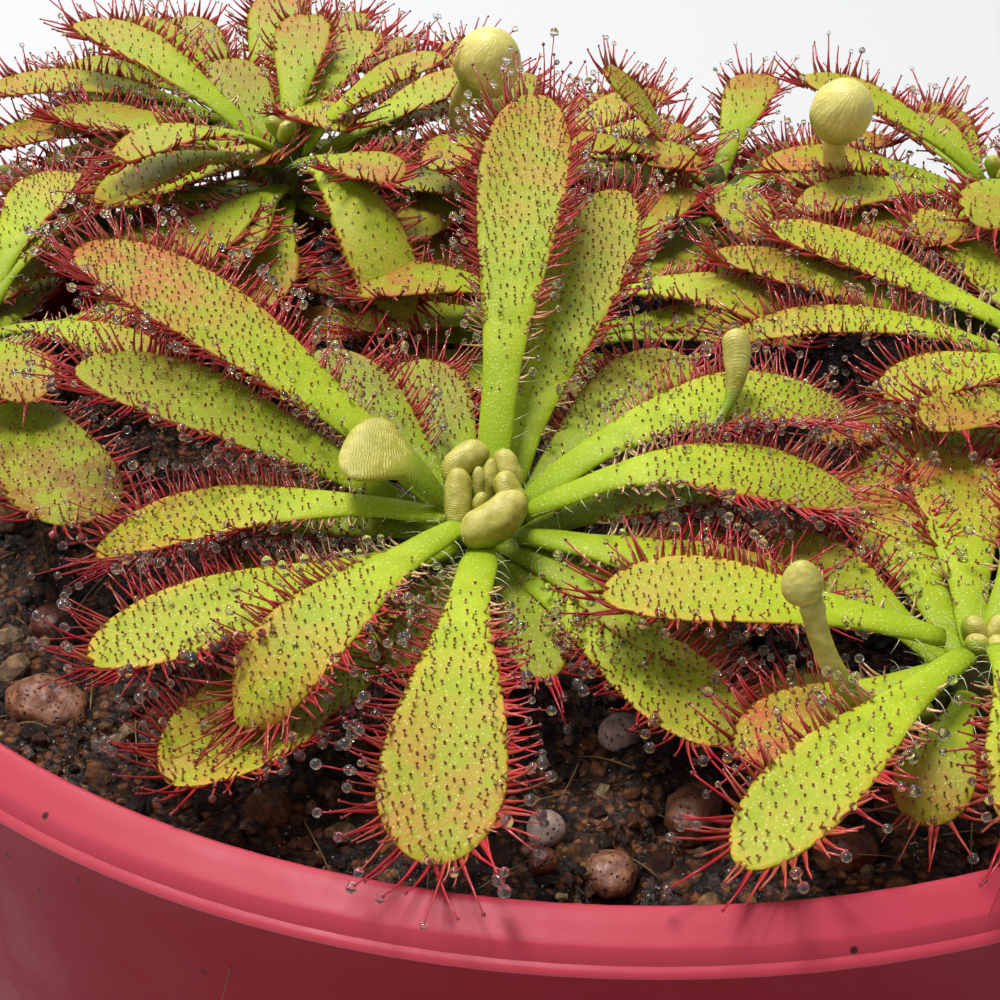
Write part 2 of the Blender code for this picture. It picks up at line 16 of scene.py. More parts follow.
import bpy
import numpy as np
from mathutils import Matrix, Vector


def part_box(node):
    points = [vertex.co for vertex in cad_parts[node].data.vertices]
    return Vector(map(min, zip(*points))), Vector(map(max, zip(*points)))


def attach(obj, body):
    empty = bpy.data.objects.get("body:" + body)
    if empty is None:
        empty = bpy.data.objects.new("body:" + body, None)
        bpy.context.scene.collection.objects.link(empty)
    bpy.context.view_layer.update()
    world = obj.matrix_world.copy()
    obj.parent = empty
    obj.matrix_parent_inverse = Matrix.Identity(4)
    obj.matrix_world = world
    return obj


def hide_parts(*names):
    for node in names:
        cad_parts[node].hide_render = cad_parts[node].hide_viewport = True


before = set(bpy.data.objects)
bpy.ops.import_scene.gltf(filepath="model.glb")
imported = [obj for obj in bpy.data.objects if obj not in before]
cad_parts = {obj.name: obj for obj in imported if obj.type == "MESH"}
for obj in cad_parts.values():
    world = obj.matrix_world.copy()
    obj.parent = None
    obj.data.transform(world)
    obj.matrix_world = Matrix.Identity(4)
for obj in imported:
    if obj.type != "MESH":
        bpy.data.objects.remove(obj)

LOG = logging.getLogger("potted_sundew")
MM = 0.001
ROOT = "root"
POT_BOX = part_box("pot")
POT_HEIGHT = POT_BOX[1].z / MM
RIM_RADIUS = POT_BOX[1].x / MM
MOUTH_RADIUS = RIM_RADIUS - 2.5
PEAT_DROP, LUMP_HEIGHT = 4.6, 0.75
COLLAR_DEPTH, COLLAR_DRAFT, LOWER_DRAFT = 38.0, 0.048, 0.14
STEP_HEIGHT, STEP_DEPTH = 2.5, 1.5
TURN = 2.0 * math.pi
GOLDEN_ANGLE = 137.5

Colour = tuple[float, float, float]
Point = tuple[float, float, float]
Array = np.ndarray
Socket = bpy.types.NodeSocket
Material = bpy.types.Material
Piece = bpy.types.Object


# ------------------------ small tools


def smooth_step(value: Array | float) -> Array:
    """A soft 0 to 1 ramp of a value between 0 and 1."""
    value = np.clip(value, 0.0, 1.0)
    return value * value * (3.0 - 2.0 * value)


def lattice_noise(points: Array, cell: float, seed: int) -> Array:
    """Smooth noise at points.

    Args:
        points: The places, in rows of three.
        cell: The size of one cell of the noise, in the same unit.
        seed: Which noise it is.

    Returns:
        One value from -1 to 1 for each point.
    """
    scaled = points / cell
    low = np.floor(scaled).astype(np.int64)
    part = smooth_step(scaled - low)
    total = np.zeros(len(points))
    for corner in range(8):
        offset = np.array([(corner >> axis) & 1 for axis in range(3)])
        keys = low + offset
        mixed = keys[:, 0] * 73856093 ^ keys[:, 1] * 19349663 ^ keys[:, 2] * 83492791 ^ seed * 7919
        mixed = (mixed ^ (mixed >> 13)) * 1274126177 & 0x7FFFFFFF
        value = ((mixed >> 8) & 0xFFFF) / 32767.5 - 1.0
        total += np.prod(np.where(offset == 1, part, 1.0 - part), axis=1) * value
    return total


def rough_noise(points: Array, cell: float, seed: int, octaves: int = 3) -> Array:
    """Noise with finer noise on it, from about -1 to 1.

    Args:
        points: The places, in rows of three.
        cell: The size of the coarsest cell, in the same unit.
        seed: Which noise it is.
        octaves: How many noises, each half the size of the last.

    Returns:
        One value for each point.
    """
    total = np.zeros(len(points))
    for octave in range(octaves):
        total += lattice_noise(points, cell / 2 ** octave, seed + octave) / 2 ** octave
    return total / 1.6


def unit(vectors: Array) -> Array:
    """Vectors brought to length one."""
    return vectors / np.maximum(np.linalg.norm(vectors, axis=-1, keepdims=True), 1e-9)


def circle(sides: int) -> Array:
    """The angles of the points of a ring."""
    return np.arange(sides) * TURN / sides


def link(name: str, data: bpy.types.ID) -> Piece:
    """A new object in the scene.

    Args:
        name: The object's name.
        data: Its mesh, lamp or camera.

    Returns:
        The object.
    """
    made = bpy.data.objects.new(name, data)
    bpy.context.scene.collection.objects.link(made)
    return made


def keep_value(mesh: bpy.types.Mesh, title: str, data: Array) -> None:
    """Store a number or a vector at each point of a mesh.

    Args:
        mesh: The mesh.
        title: The attribute's name.
        data: One row for each point.
    """
    data = data.astype(np.float32).reshape(len(mesh.vertices), -1)
    vector = data.shape[1] == 3
    kept = mesh.attributes.new(title, "FLOAT_VECTOR" if vector else "FLOAT", "POINT")
    kept.data.foreach_set("vector" if vector else "value", data.ravel())


def evaluated_mesh(piece: Piece, **options: bool) -> bpy.types.Mesh:
    """A plain mesh of what an object's modifiers make of it."""
    depsgraph = bpy.context.evaluated_depsgraph_get()
    return bpy.data.meshes.new_from_object(piece.evaluated_get(depsgraph), depsgraph=depsgraph,
                                           **options)


@dataclass
class Skin:
    """A surface being made: points in millimetres, faces, and values at each point."""

    verts: list[Array] = field(default_factory=list)
    faces: list[list[int]] = field(default_factory=list)
    values: dict[str, list[Array]] = field(default_factory=dict)
    count: int = 0

    def add_points(self, points: Array, values: dict[str, Array]) -> int:
        """Add points with their values, and return the number of the first.

        Args:
            points: The points, in any grid.
            values: Values in the same grid.

        Returns:
            The number of the first point.
        """
        start = self.count
        self.verts.append(points.reshape(-1, 3))
        for name, value in values.items():
            self.values.setdefault(name, []).append(value.reshape(len(self.verts[-1]), -1))
        self.count += len(self.verts[-1])
        return start

    def add_sheet(self, rows: Array, values: dict[str, Array], closed: bool) -> int:
        """Add a grid of points and its quads.

        Args:
            rows: The points, by row and column.
            values: Values by row and column, to be kept at each point.
            closed: Whether each row is a ring.

        Returns:
            The number of the first point.
        """
        start = self.add_points(rows, values)
        count, width = rows.shape[:2]
        here = np.arange(count - 1)[:, None] * width + np.arange(width if closed else width - 1)
        after = np.arange(count - 1)[:, None] * width + (
            np.arange(1, width + 1) % width if closed else np.arange(1, width))
        quads = np.stack([here, after, after + width, here + width], axis=-1).reshape(-1, 4)
        self.faces += (quads + start).tolist()
        return start

    def add_pole(self, ring: int, sides: int, point: Array, values: dict[str, Array],
                 first: bool) -> None:
        """Close an end of a tube with a fan of triangles.

        Args:
            ring: The number of the end ring's first point.
            sides: How many points the ring has.
            point: The pole.
            values: The pole's values.
            first: Whether it is the tube's first end, whose triangles turn the other way.
        """
        pole = self.add_points(point, values)
        for side in range(sides):
            one, two = ring + side, ring + (side + 1) % sides
            self.faces.append([two, one, pole] if first else [one, two, pole])

    def add_tube(self, rows: Array, values: dict[str, Array]) -> None:
        """Add a closed tube through rings of points, each end drawn to a pole."""
        start = self.add_sheet(rows, values, closed=True)
        for row, first in ((0, True), (rows.shape[0] - 1, False)):
            self.add_pole(start + row * rows.shape[1], rows.shape[1], rows[row].mean(axis=0), {
                name: value[row].mean(axis=0) for name, value in values.items()}, first)

    def piece(self, name: str, finish: Material | None) -> Piece:
        """Make the surface an object in metres, shaded smooth, with its values as attributes.

        Args:
            name: The object's name.
            finish: Its material, if it keeps one.

        Returns:
            The object.
        """
        mesh = bpy.data.meshes.new(name)
        verts = np.concatenate(self.verts) * MM
        mesh.from_pydata(verts.tolist(), [], self.faces)
        for title, parts in self.values.items():
            keep_value(mesh, title, np.concatenate(parts))
        mesh.shade_smooth()
        mesh.validate()
        if finish:
            mesh.materials.append(finish)
        return link(name, mesh)


def tube_rings(line: Array, radii: Array, sides: int, flat: float,
               side_hint: Sequence[float]) -> Array:
    """Rings of points round a line.

    Args:
        line: The middle of each ring, in millimetres.
        radii: The radius of each ring.
        sides: Points in a ring.
        flat: Size along the side hint over the size across it.
        side_hint: The direction that the rings' second axis keeps to.

    Returns:
        The points by ring and side.
    """
    ahead = unit(np.gradient(line, axis=0))
    across = unit(np.cross(ahead, np.array(side_hint)))
    other = np.cross(across, ahead)
    angles = circle(sides)[None, :, None]
    ring = np.cos(angles) * across[:, None, :] + flat * np.sin(angles) * other[:, None, :]
    return line[:, None, :] + radii[:, None, None] * ring


def settle(piece: Piece, node: str = "") -> Piece:
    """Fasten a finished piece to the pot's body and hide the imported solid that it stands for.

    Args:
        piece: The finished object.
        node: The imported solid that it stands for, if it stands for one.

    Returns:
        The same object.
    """
    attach(piece, ROOT)
    if node:
        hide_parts(node)
    LOG.info("%s: %d faces", piece.name, len(piece.data.polygons))
    return piece


# ------------------------ node graphs


class Graph:
    """A node tree under construction, with short ways to add nodes and wire them."""

    def __init__(self, tree: bpy.types.NodeTree) -> None:
        """Take the tree that the nodes go into."""
        self.tree = tree

    def node(self, kind: str, inputs: dict[Any, Any] | None = None,
             **settings: Any) -> bpy.types.Node:
        """Add a node.

        Args:
            kind: The node's type.
            inputs: Sockets by name or number, each with a value or with a socket to wire.
            **settings: The node's own properties.

        Returns:
            The new node.
        """
        made = self.tree.nodes.new(kind)
        for name, value in settings.items():
            setattr(made, name, value)
        for key, value in (inputs or {}).items():
            self.feed(made.inputs[key], value)
        return made

    def feed(self, socket: Socket, value: Any) -> None:
        """Wire a socket to another, or give it a value."""
        if isinstance(value, Socket):
            self.tree.links.new(value, socket)
        else:
            socket.default_value = value

    def math(self, operation: str, *values: Any) -> Socket:
        """The result of a sum on numbers."""
        node = self.node("ShaderNodeMath", dict(enumerate(values)), operation=operation)
        return node.outputs[0]

    def vector(self, operation: str, *values: Any) -> Socket:
        """The vector result of a sum on vectors."""
        node = self.node("ShaderNodeVectorMath", dict(enumerate(values)), operation=operation)
        return node.outputs[0]

    def scaled(self, vector: Socket, factor: Any) -> Socket:
        """A vector times a number."""
        node = self.node("ShaderNodeVectorMath", {0: vector, "Scale": factor}, operation="SCALE")
        return node.outputs[0]

    def times(self, one: Any, two: Any) -> Socket:
        """One number times another."""
        return self.math("MULTIPLY", one, two)

    def ramp(self, value: Socket, low: float, high: float, start: float = 0.0,
             end: float = 1.0) -> Socket:
        """A value from low to high, eased and brought to start to end."""
        node = self.node("ShaderNodeMapRange", {0: value, 1: low, 2: high, 3: start, 4: end},
                         interpolation_type="SMOOTHSTEP")
        return node.outputs[0]


class SurfaceGraph(Graph):
    """The node tree of a finish, with its Principled shader."""

    def __init__(self, name: str, roughness: float, **shader: Any) -> None:
        """Start a finish.

        Args:
            name: The material's name.
            roughness: The shader's roughness.
            **shader: More of the shader's sockets, with _ for a space in their names.
        """
        self.material = bpy.data.materials.new(name)
        self.material.use_nodes = True
        super().__init__(self.material.node_tree)
        self.shader = self.tree.nodes["Principled BSDF"]
        self.set_shader(Roughness=roughness, **shader)

    def set_shader(self, **sockets: Any) -> None:
        """Feed the shader's sockets, named with _ for a space."""
        for name, value in sockets.items():
            self.feed(self.shader.inputs[name.replace("_", " ")], value)

    def place(self) -> Socket:
        """The object's own coordinates, in metres."""
        return self.node("ShaderNodeTexCoord").outputs["Object"]

    def value(self, name: str) -> Socket:
        """A number kept at the mesh's points."""
        node = self.node("ShaderNodeAttribute", attribute_name=name, attribute_type="GEOMETRY")
        return node.outputs["Fac"]

    def noise(self, size: float, detail: float = 2.0, roughness: float = 0.5,
              stretch: Point = (1.0, 1.0, 1.0)) -> Socket:
        """Noise of a size in millimetres, from 0 to 1, stretched along an axis if asked.

        Args:
            size: The size of its patches, in millimetres.
            detail: How many finer noises lie on it.
            roughness: How strong the finer ones are.
            stretch: How much it is stretched along each axis.

        Returns:
            The noise, from 0 to 1.
        """
        place = self.place()
        if stretch != (1.0, 1.0, 1.0):
            place = self.vector("DIVIDE", place, stretch)
        node = self.node("ShaderNodeTexNoise", {"Vector": place, "Scale": 1.0 / (size * MM),
                                                "Detail": detail, "Roughness": roughness})
        return node.outputs["Fac"]

    def cells(self, size: float, output: str = "Distance") -> Socket:
        """Distance from the middle of rounded cells of a size in millimetres, or their colour."""
        return self.node("ShaderNodeTexVoronoi", {
            "Vector": self.place(), "Scale": 1.0 / (size * MM)}).outputs[output]

    def cell_tint(self, size: float) -> Socket:
        """A number from 0 to 1 for each rounded cell: its colour, made a number by a sum."""
        return self.times(self.cells(size, "Color"), 1.0)

    def mix(self, factor: Any, one: Any, two: Any) -> Socket:
        """Two colours mixed by a factor."""
        one, two = (self.shade(colour) for colour in (one, two))
        return self.node("ShaderNodeMix", {0: factor, 6: one, 7: two}, data_type="RGBA",
                         clamp_factor=True).outputs[2]

    @staticmethod
    def shade(colour: Any) -> Any:
        """A colour with its alpha, or a socket as it is."""
        return (*colour, 1.0) if isinstance(colour, tuple) else colour

    def bands(self, factor: Socket, stops: Sequence[tuple[float, Colour]]) -> Socket:
        """A colour from a ramp of stops.

        Args:
            factor: Where on the ramp, 0 to 1.
            stops: Each stop's place and colour.

        Returns:
            The colour.
        """
        node = self.node("ShaderNodeValToRGB", {0: factor})
        ramp = node.color_ramp
        while len(ramp.elements) < len(stops):
            ramp.elements.new(0.5)
        for element, (where, colour) in zip(ramp.elements, stops):
            element.position = where
            element.color = (*colour, 1.0)
        return node.outputs["Color"]

    def bump(self, height: Socket, depth: float, strength: float = 1.0,
             under: Socket | None = None) -> Socket:
        """A normal bumped by a height, whose 0 to 1 is a depth in millimetres.

        Args:
            height: The height, 0 to 1.
            depth: What 1 stands for, in millimetres.
            strength: How much of it shows.
            under: A normal that it is laid over.

        Returns:
            The bumped normal.
        """
        inputs = {"Height": height, "Distance": depth * MM, "Strength": strength}
        if under:
            inputs["Normal"] = under
        return self.node("ShaderNodeBump", inputs).outputs["Normal"]

    def done(self, colour: Any, normal: Socket | None = None) -> Material:
        """Wire the colour and the normal, and return the material.

        Args:
            colour: The base colour, or a socket.
            normal: The bumped normal, if any.

        Returns:
            The material.
        """
        self.feed(self.shader.inputs["Base Color"], self.shade(colour))
        if normal:
            self.feed(self.shader.inputs["Normal"], normal)
        return self.material


# ------------------------ finishes


@dataclass(frozen=True)
class LeafFinish:
    """Waxy leaf: lime-green stalk, yellow blade full of pale papillae with painted glints, orange
    and red at its tip, darkened towards old-leaf green by age and painted shade.
    """

    name: str = "sundew_leaf"
    foot: Colour = (0.29, 0.41, 0.014)
    stalk: Colour = (0.41, 0.50, 0.022)
    blade: Colour = (0.40, 0.45, 0.034)
    rim: Colour = (0.74, 0.47, 0.06)
    blush: Colour = (0.46, 0.11, 0.03)
    # Dark old-leaf green, also standing for painted shade on lower leaves and undersides.
    old: Colour = (0.09, 0.10, 0.012)
    # Pale papillae, with a painted highlight of glints on them.
    speck_and_glint: Colour = (0.80, 0.80, 0.34)
    vein: Colour = (0.28, 0.38, 0.008)

    def material(self) -> Material:
        """Make the material.

        Returns:
            The material.
        """
        graph = SurfaceGraph(self.name, 0.48, Specular_IOR_Level=0.15)
        along = graph.value("along")
        patches = graph.noise(1.6, 3.0)
        colour = graph.mix(graph.ramp(along, 0.0, 0.4), self.foot, self.stalk)
        colour = graph.mix(graph.ramp(along, 0.3, 0.85), colour, self.blade)
        rim = graph.times(graph.value("rim"), graph.ramp(along, 0.3, 0.8))
        colour = graph.mix(graph.times(rim, 0.75), colour, self.rim)
        blush = graph.times(graph.value("blush"), graph.ramp(
            graph.math("ADD", along, graph.times(patches, 0.3)), 0.55, 1.05))
        colour = graph.mix(blush, colour, self.blush)
        # Painted shade, partly age: the shade value darkens leaves lying under others and each
        # leaf's underside.
        colour = graph.mix(graph.value("shade"), colour, self.old)
        colour = graph.mix(graph.ramp(patches, 0.35, 0.6, 0.6, 0.0), colour, self.vein)
        freckles = graph.ramp(graph.cells(0.33), 0.2, 0.45, 0.6, 0.0)
        colour = graph.mix(graph.times(freckles, graph.ramp(along, 0.4, 0.9)), colour, self.vein)
        # Pale dots on the leaf: papillae, and painted glints on them.
        specks_and_glints = graph.ramp(graph.cells(0.19), 0.12, 0.30, 0.6, 0.0)
        specks_and_glints = graph.times(specks_and_glints, graph.ramp(graph.noise(0.7), 0.3, 0.6, 0.25, 1.0))
        colour = graph.mix(specks_and_glints, colour, self.speck_and_glint)
        pores = graph.bump(graph.cells(0.17), 0.022, 0.8)
        return graph.done(colour, graph.bump(graph.noise(0.8, 2.0), 0.04, 0.5, pores))


@dataclass(frozen=True)
class YoungFinish:
    """Cream young leaf, still rolled up, with fine ribs of folded tentacles, a painted highlight on
    the tops of rolls and painted shade, greener, on their undersides.
    """

    name: str = "sundew_young"
    crest: Colour = (0.58, 0.51, 0.085)
    groove: Colour = (0.34, 0.31, 0.028)
    foot: Colour = (0.22, 0.34, 0.012)
    # Pale cream of heads and tips, also a painted highlight on the tops of rolls.
    pale: Colour = (0.78, 0.69, 0.21)

    def material(self) -> Material:
        """Make the material.

        Returns:
            The material.
        """
        graph = SurfaceGraph(self.name, 0.42, Subsurface_Weight=0.3, Subsurface_Scale=0.0008,
                             Subsurface_Radius=(1.0, 0.9, 0.4))
        phase = graph.math("MULTIPLY_ADD", graph.noise(1.3, 1.0), 16.0, graph.value("ribs"))
        ribs = graph.math("MULTIPLY_ADD", graph.math("SINE", phase), 0.5, 0.5)
        wander = graph.ramp(graph.noise(0.4, 3.0), 0.35, 0.65, 0.0, 1.0)
        ribs = graph.times(ribs, wander)
        colour = graph.mix(ribs, self.groove, self.crest)
        # Pale: heads' and tips' own cream, and a painted highlight on the tops of rolls.
        pale_and_highlight = graph.times(graph.ramp(graph.value("along"), 0.75, 1.0, 0.0, 0.55),
                          graph.ramp(graph.noise(1.0, 2.0), 0.35, 0.6, 0.35, 1.0))
        colour = graph.mix(pale_and_highlight, colour, self.pale)
        # Green towards the foot: stalks' own green, and painted shade on the undersides of rolls
        # and balls.
        colour = graph.mix(graph.ramp(graph.value("along"), 0.25, 0.6, 0.95, 0.0), colour,
                           self.foot)
        patches = graph.ramp(graph.noise(0.9), 0.4, 0.7, 0.0, 0.5)
        colour = graph.mix(patches, colour, self.groove)
        return graph.done(colour, graph.bump(ribs, 0.03, 0.6, graph.bump(graph.noise(0.2), 0.02)))


@dataclass(frozen=True)
class StalkFinish:
    """Glassy crimson tentacle stalk, paler where it grows on a leaf's stalk."""

    name: str = "sundew_tentacle"
    pale: Colour = (0.80, 0.62, 0.28)
    crimson: Colour = (0.50, 0.012, 0.030)
    pink: Colour = (0.62, 0.065, 0.070)

    def material(self) -> Material:
        """Make the material.

        Returns:
            The material.
        """
        graph = SurfaceGraph(self.name, 0.22, Coat_Weight=0.4, Coat_Roughness=0.08)
        red = graph.mix(graph.ramp(graph.value("climb"), 0.0, 0.4, 0.7, 0.0),
                        self.crimson, self.pink)
        return graph.done(graph.mix(graph.value("flush"), self.pale, red))


@dataclass(frozen=True)
class GlandFinish:
    """Dark maroon gland head, wet and shining."""

    name: str = "sundew_gland"
    head: Colour = (0.10, 0.005, 0.012)
    bright: Colour = (0.34, 0.02, 0.03)

    def material(self) -> Material:
        """Make the material."""
        graph = SurfaceGraph(self.name, 0.16, Coat_Weight=0.5, Coat_Roughness=0.05)
        return graph.done(graph.mix(graph.noise(1.2), self.head, self.bright))


@dataclass(frozen=True)
class DewFinish:
    """Clear sticky drop."""

    name: str = "sundew_dew"
    tint: Colour = (1.0, 0.97, 0.92)

    def material(self) -> Material:
        """Make the material."""
        graph = SurfaceGraph(self.name, 0.0, Transmission_Weight=0.98, IOR=1.42)
        return graph.done(self.tint)


@dataclass(frozen=True)
class HairFinish:
    """White wispy hair at a leaf's foot."""

    name: str = "sundew_hair"
    white: Colour = (0.80, 0.82, 0.62)
    green: Colour = (0.55, 0.62, 0.3)

    def material(self) -> Material:
        """Make the material."""
        graph = SurfaceGraph(self.name, 0.3)
        return graph.done(graph.mix(graph.noise(2.0), self.white, self.green))


@dataclass(frozen=True)
class StemFinish:
    """Short woody stem with the brown remains of old leaves."""

    name: str = "sundew_stem"
    bark: Colour = (0.07, 0.045, 0.015)
    green: Colour = (0.12, 0.17, 0.02)

    def material(self) -> Material:
        """Make the material.

        Returns:
            The material.
        """
        graph = SurfaceGraph(self.name, 0.6)
        rough = graph.noise(0.8, 4.0)
        colour = graph.mix(graph.ramp(rough, 0.35, 0.65), self.bark, self.green)
        return graph.done(colour, graph.bump(graph.noise(0.4, 4.0, stretch=(1, 1, 3)), 0.15))


@dataclass(frozen=True)
class PotFinish:
    """Satin red moulded plastic, its wall deep red below the rim as painted shade, scuffed rose and
    flecked at its rim.
    """

    name: str = "pot_plastic"
    # Deep red of the wall below the rim: painted shade.
    deep: Colour = (0.25, 0.012, 0.024)
    red: Colour = (0.46, 0.042, 0.068)
    dusty: Colour = (0.47, 0.055, 0.079)
    fleck: Colour = (0.05, 0.012, 0.012)

    def material(self) -> Material:
        """Make the material.

        Returns:
            The material.
        """
        graph = SurfaceGraph(self.name, 0.38)
        haze = graph.noise(14.0, 4.0, 0.6)
        colour = graph.mix(graph.ramp(haze, 0.4, 0.7, 0.0, 0.5), self.red, self.dusty)
        grit = graph.ramp(graph.cells(2.4), 0.05, 0.08, 1.0, 0.0)
        height = graph.node("ShaderNodeSeparateXYZ", {0: graph.place()}).outputs["Z"]
        on_rim = graph.ramp(height, (POT_HEIGHT - 2.0) * MM, (POT_HEIGHT - 1.6) * MM)
        # Painted shade: under the rim's top the wall takes the deep colour.
        colour = graph.mix(on_rim, self.deep, colour)
        graph.set_shader(Specular_IOR_Level=graph.math("MULTIPLY_ADD", on_rim, 0.16, 0.05))
        near_rim = graph.ramp(height, (POT_HEIGHT - 16.0) * MM, POT_HEIGHT * MM, 0.1, 1.0)
        colour = graph.mix(graph.times(grit, near_rim), colour, self.fleck)
        graph.set_shader(Roughness=graph.ramp(graph.noise(5.0, 4.0, 0.65), 0.3, 0.7, 0.36, 0.52))
        skin = graph.bump(graph.noise(0.35, 2.0), 0.012, 0.5)
        return graph.done(colour, graph.bump(graph.noise(9.0, 2.0), 0.12, 0.35, skin))


@dataclass(frozen=True)
class PeatFinish:
    """Wet peat, nearly black, with rusty fibres, painted shade round its granules, and pale sand
    grains with painted glints of water.
    """

    name: str = "wet_peat"
    black: Colour = (0.005, 0.003, 0.002)
    brown: Colour = (0.21, 0.062, 0.022)
    amber: Colour = (0.50, 0.22, 0.04)
    granule: Colour = (0.36, 0.125, 0.046)
    # Pale colour of sand grains and of painted glints.
    grain: Colour = (0.85, 0.70, 0.48)

    def material(self) -> Material:
        """Make the material.

        Returns:
            The material.
        """
        graph = SurfaceGraph(self.name, 0.1, Specular_IOR_Level=0.5)
        colour = graph.mix(graph.ramp(graph.noise(2.2, 5.0, 0.65), 0.42, 0.68),
                           self.black, self.brown)
        rusty = graph.times(graph.ramp(graph.noise(0.5, 3.0, 0.6), 0.55, 0.7),
                            graph.ramp(graph.noise(4.5, 2.0), 0.48, 0.62))
        colour = graph.mix(rusty, colour, self.amber)
        colour = graph.mix(graph.ramp(graph.cell_tint(0.5), 0.45, 0.8, 0.0, 0.75), colour,
                           self.granule)
        # Painted shade: each rounded granule darkens to black towards its edge, as shade in the
        # gaps between granules.
        colour = graph.mix(graph.ramp(graph.cells(0.5), 0.3, 0.6, 0.0, 0.85), colour, self.black)
        # Pale dots: sand grains, and painted glints of water.
        grains_and_glints = graph.times(graph.ramp(graph.cells(0.42), 0.06, 0.14, 0.9, 0.0),
                             graph.ramp(graph.noise(1.5, 2.0), 0.4, 0.5))
        colour = graph.mix(grains_and_glints, colour, self.grain)
        graph.set_shader(Roughness=graph.ramp(graph.noise(0.9, 3.0), 0.35, 0.65, 0.04, 0.3))
        grain = graph.bump(graph.noise(0.22, 4.0, 0.7), 0.3, 1.0)
        lumps = graph.bump(graph.cells(0.5), 0.4, 1.0, grain)
        return graph.done(colour, graph.bump(graph.noise(1.4, 4.0, 0.65), 0.7, 1.0, lumps))


@dataclass(frozen=True)
class CrumbFinish:
    """Loose crumbs of bark, sand and peat, each in its own brown, with pale sand grains and painted
    glints.
    """

    name: str = "peat_crumbs"
    stops: tuple[tuple[float, Colour], ...] = (
        (0.0, (0.006, 0.003, 0.002)), (0.35, (0.03, 0.010, 0.004)),
        (0.6, (0.15, 0.042, 0.016)), (0.85, (0.32, 0.12, 0.035)), (0.97, (0.55, 0.38, 0.20)))
    dark: Colour = (0.004, 0.003, 0.002)
    # Pale colour of sand grains and of painted glints.
    grain: Colour = (0.78, 0.62, 0.40)

    def material(self) -> Material:
        """Make the material.

        Returns:
            The material.
        """
        graph = SurfaceGraph(self.name, 0.18, Specular_IOR_Level=0.5)
        colour = graph.bands(graph.value("tint"), self.stops)
        colour = graph.mix(graph.ramp(graph.noise(0.4, 3.0), 0.4, 0.7, 0.6, 0.0), colour,
                           self.dark)
        # Pale dots: sand grains, and painted glints.
        grains_and_glints = graph.times(graph.ramp(graph.cells(0.3), 0.05, 0.12, 0.9, 0.0),
                             graph.ramp(graph.noise(1.1, 2.0), 0.5, 0.6))
        colour = graph.mix(grains_and_glints, colour, self.grain)
        rough = graph.bump(graph.noise(0.16, 4.0, 0.7), 0.26, 1.0)
        return graph.done(colour, graph.bump(graph.noise(0.7, 3.0), 0.25, 0.8, rough))


@dataclass(frozen=True)
class StoneFinish:
    """Porous stone: a ground colour, lighter patches, and pits darkened with painted shade."""

    name: str
    ground: Colour
    # Dark colour of the pits: painted shade.
    pit_shade: Colour
    light: Colour
    roughness: float = 0.6

    def material(self) -> Material:
        """Make the material.

        Returns:
            The material.
        """
        graph = SurfaceGraph(self.name, self.roughness, Coat_Weight=0.1, Coat_Roughness=0.2)
        pores = graph.ramp(graph.cells(0.3), 0.12, 0.3)
        colour = graph.mix(graph.ramp(graph.noise(0.5, 4.0), 0.4, 0.7), self.ground, self.light)
        # Painted shade: the dents at the cells' middles take the dark pit colour.
        colour = graph.mix(pores, self.pit_shade, colour)
        rough = graph.bump(graph.noise(0.25, 4.0, 0.7), 0.08, 0.8)
        return graph.done(colour, graph.bump(pores, 0.08, 0.7, rough))


@dataclass(frozen=True)
class StrawFinish:
    """Dry tan plant fibre."""

    name: str = "dry_fibre"
    tan: Colour = (0.40, 0.26, 0.10)
    brown: Colour = (0.12, 0.06, 0.02)

    def material(self) -> Material:
        """Make the material.

        Returns:
            The material.
        """
        graph = SurfaceGraph(self.name, 0.5)
        streaks = graph.noise(0.3, 3.0)
        return graph.done(graph.mix(streaks, self.tan, self.brown), graph.bump(streaks, 0.03))


# ------------------------ plants


@dataclass(frozen=True)
class Fineness:
    """How finely a rosette is made; spacings are in millimetres."""

    stations: int
    lanes: int
    segments: int
    gland_sides: int
    gland_rings: int
    blade_spacing: float
    fringe_spacing: float
    drop_share: float
    drop_rings: int
    stalk_radius: float


class Detail(Enum):
    """Grades of fineness, from the plant in front to those behind."""

    HERO = Fineness(30, 11, 3, 4, 2, 0.38, 0.165, 0.42, 5, 0.095)
    NEAR = Fineness(22, 9, 2, 3, 2, 0.43, 0.225, 0.36, 4, 0.11)
    FAR = Fineness(16, 6, 2, 3, 2, 0.74, 0.26, 0.30, 3, 0.14)


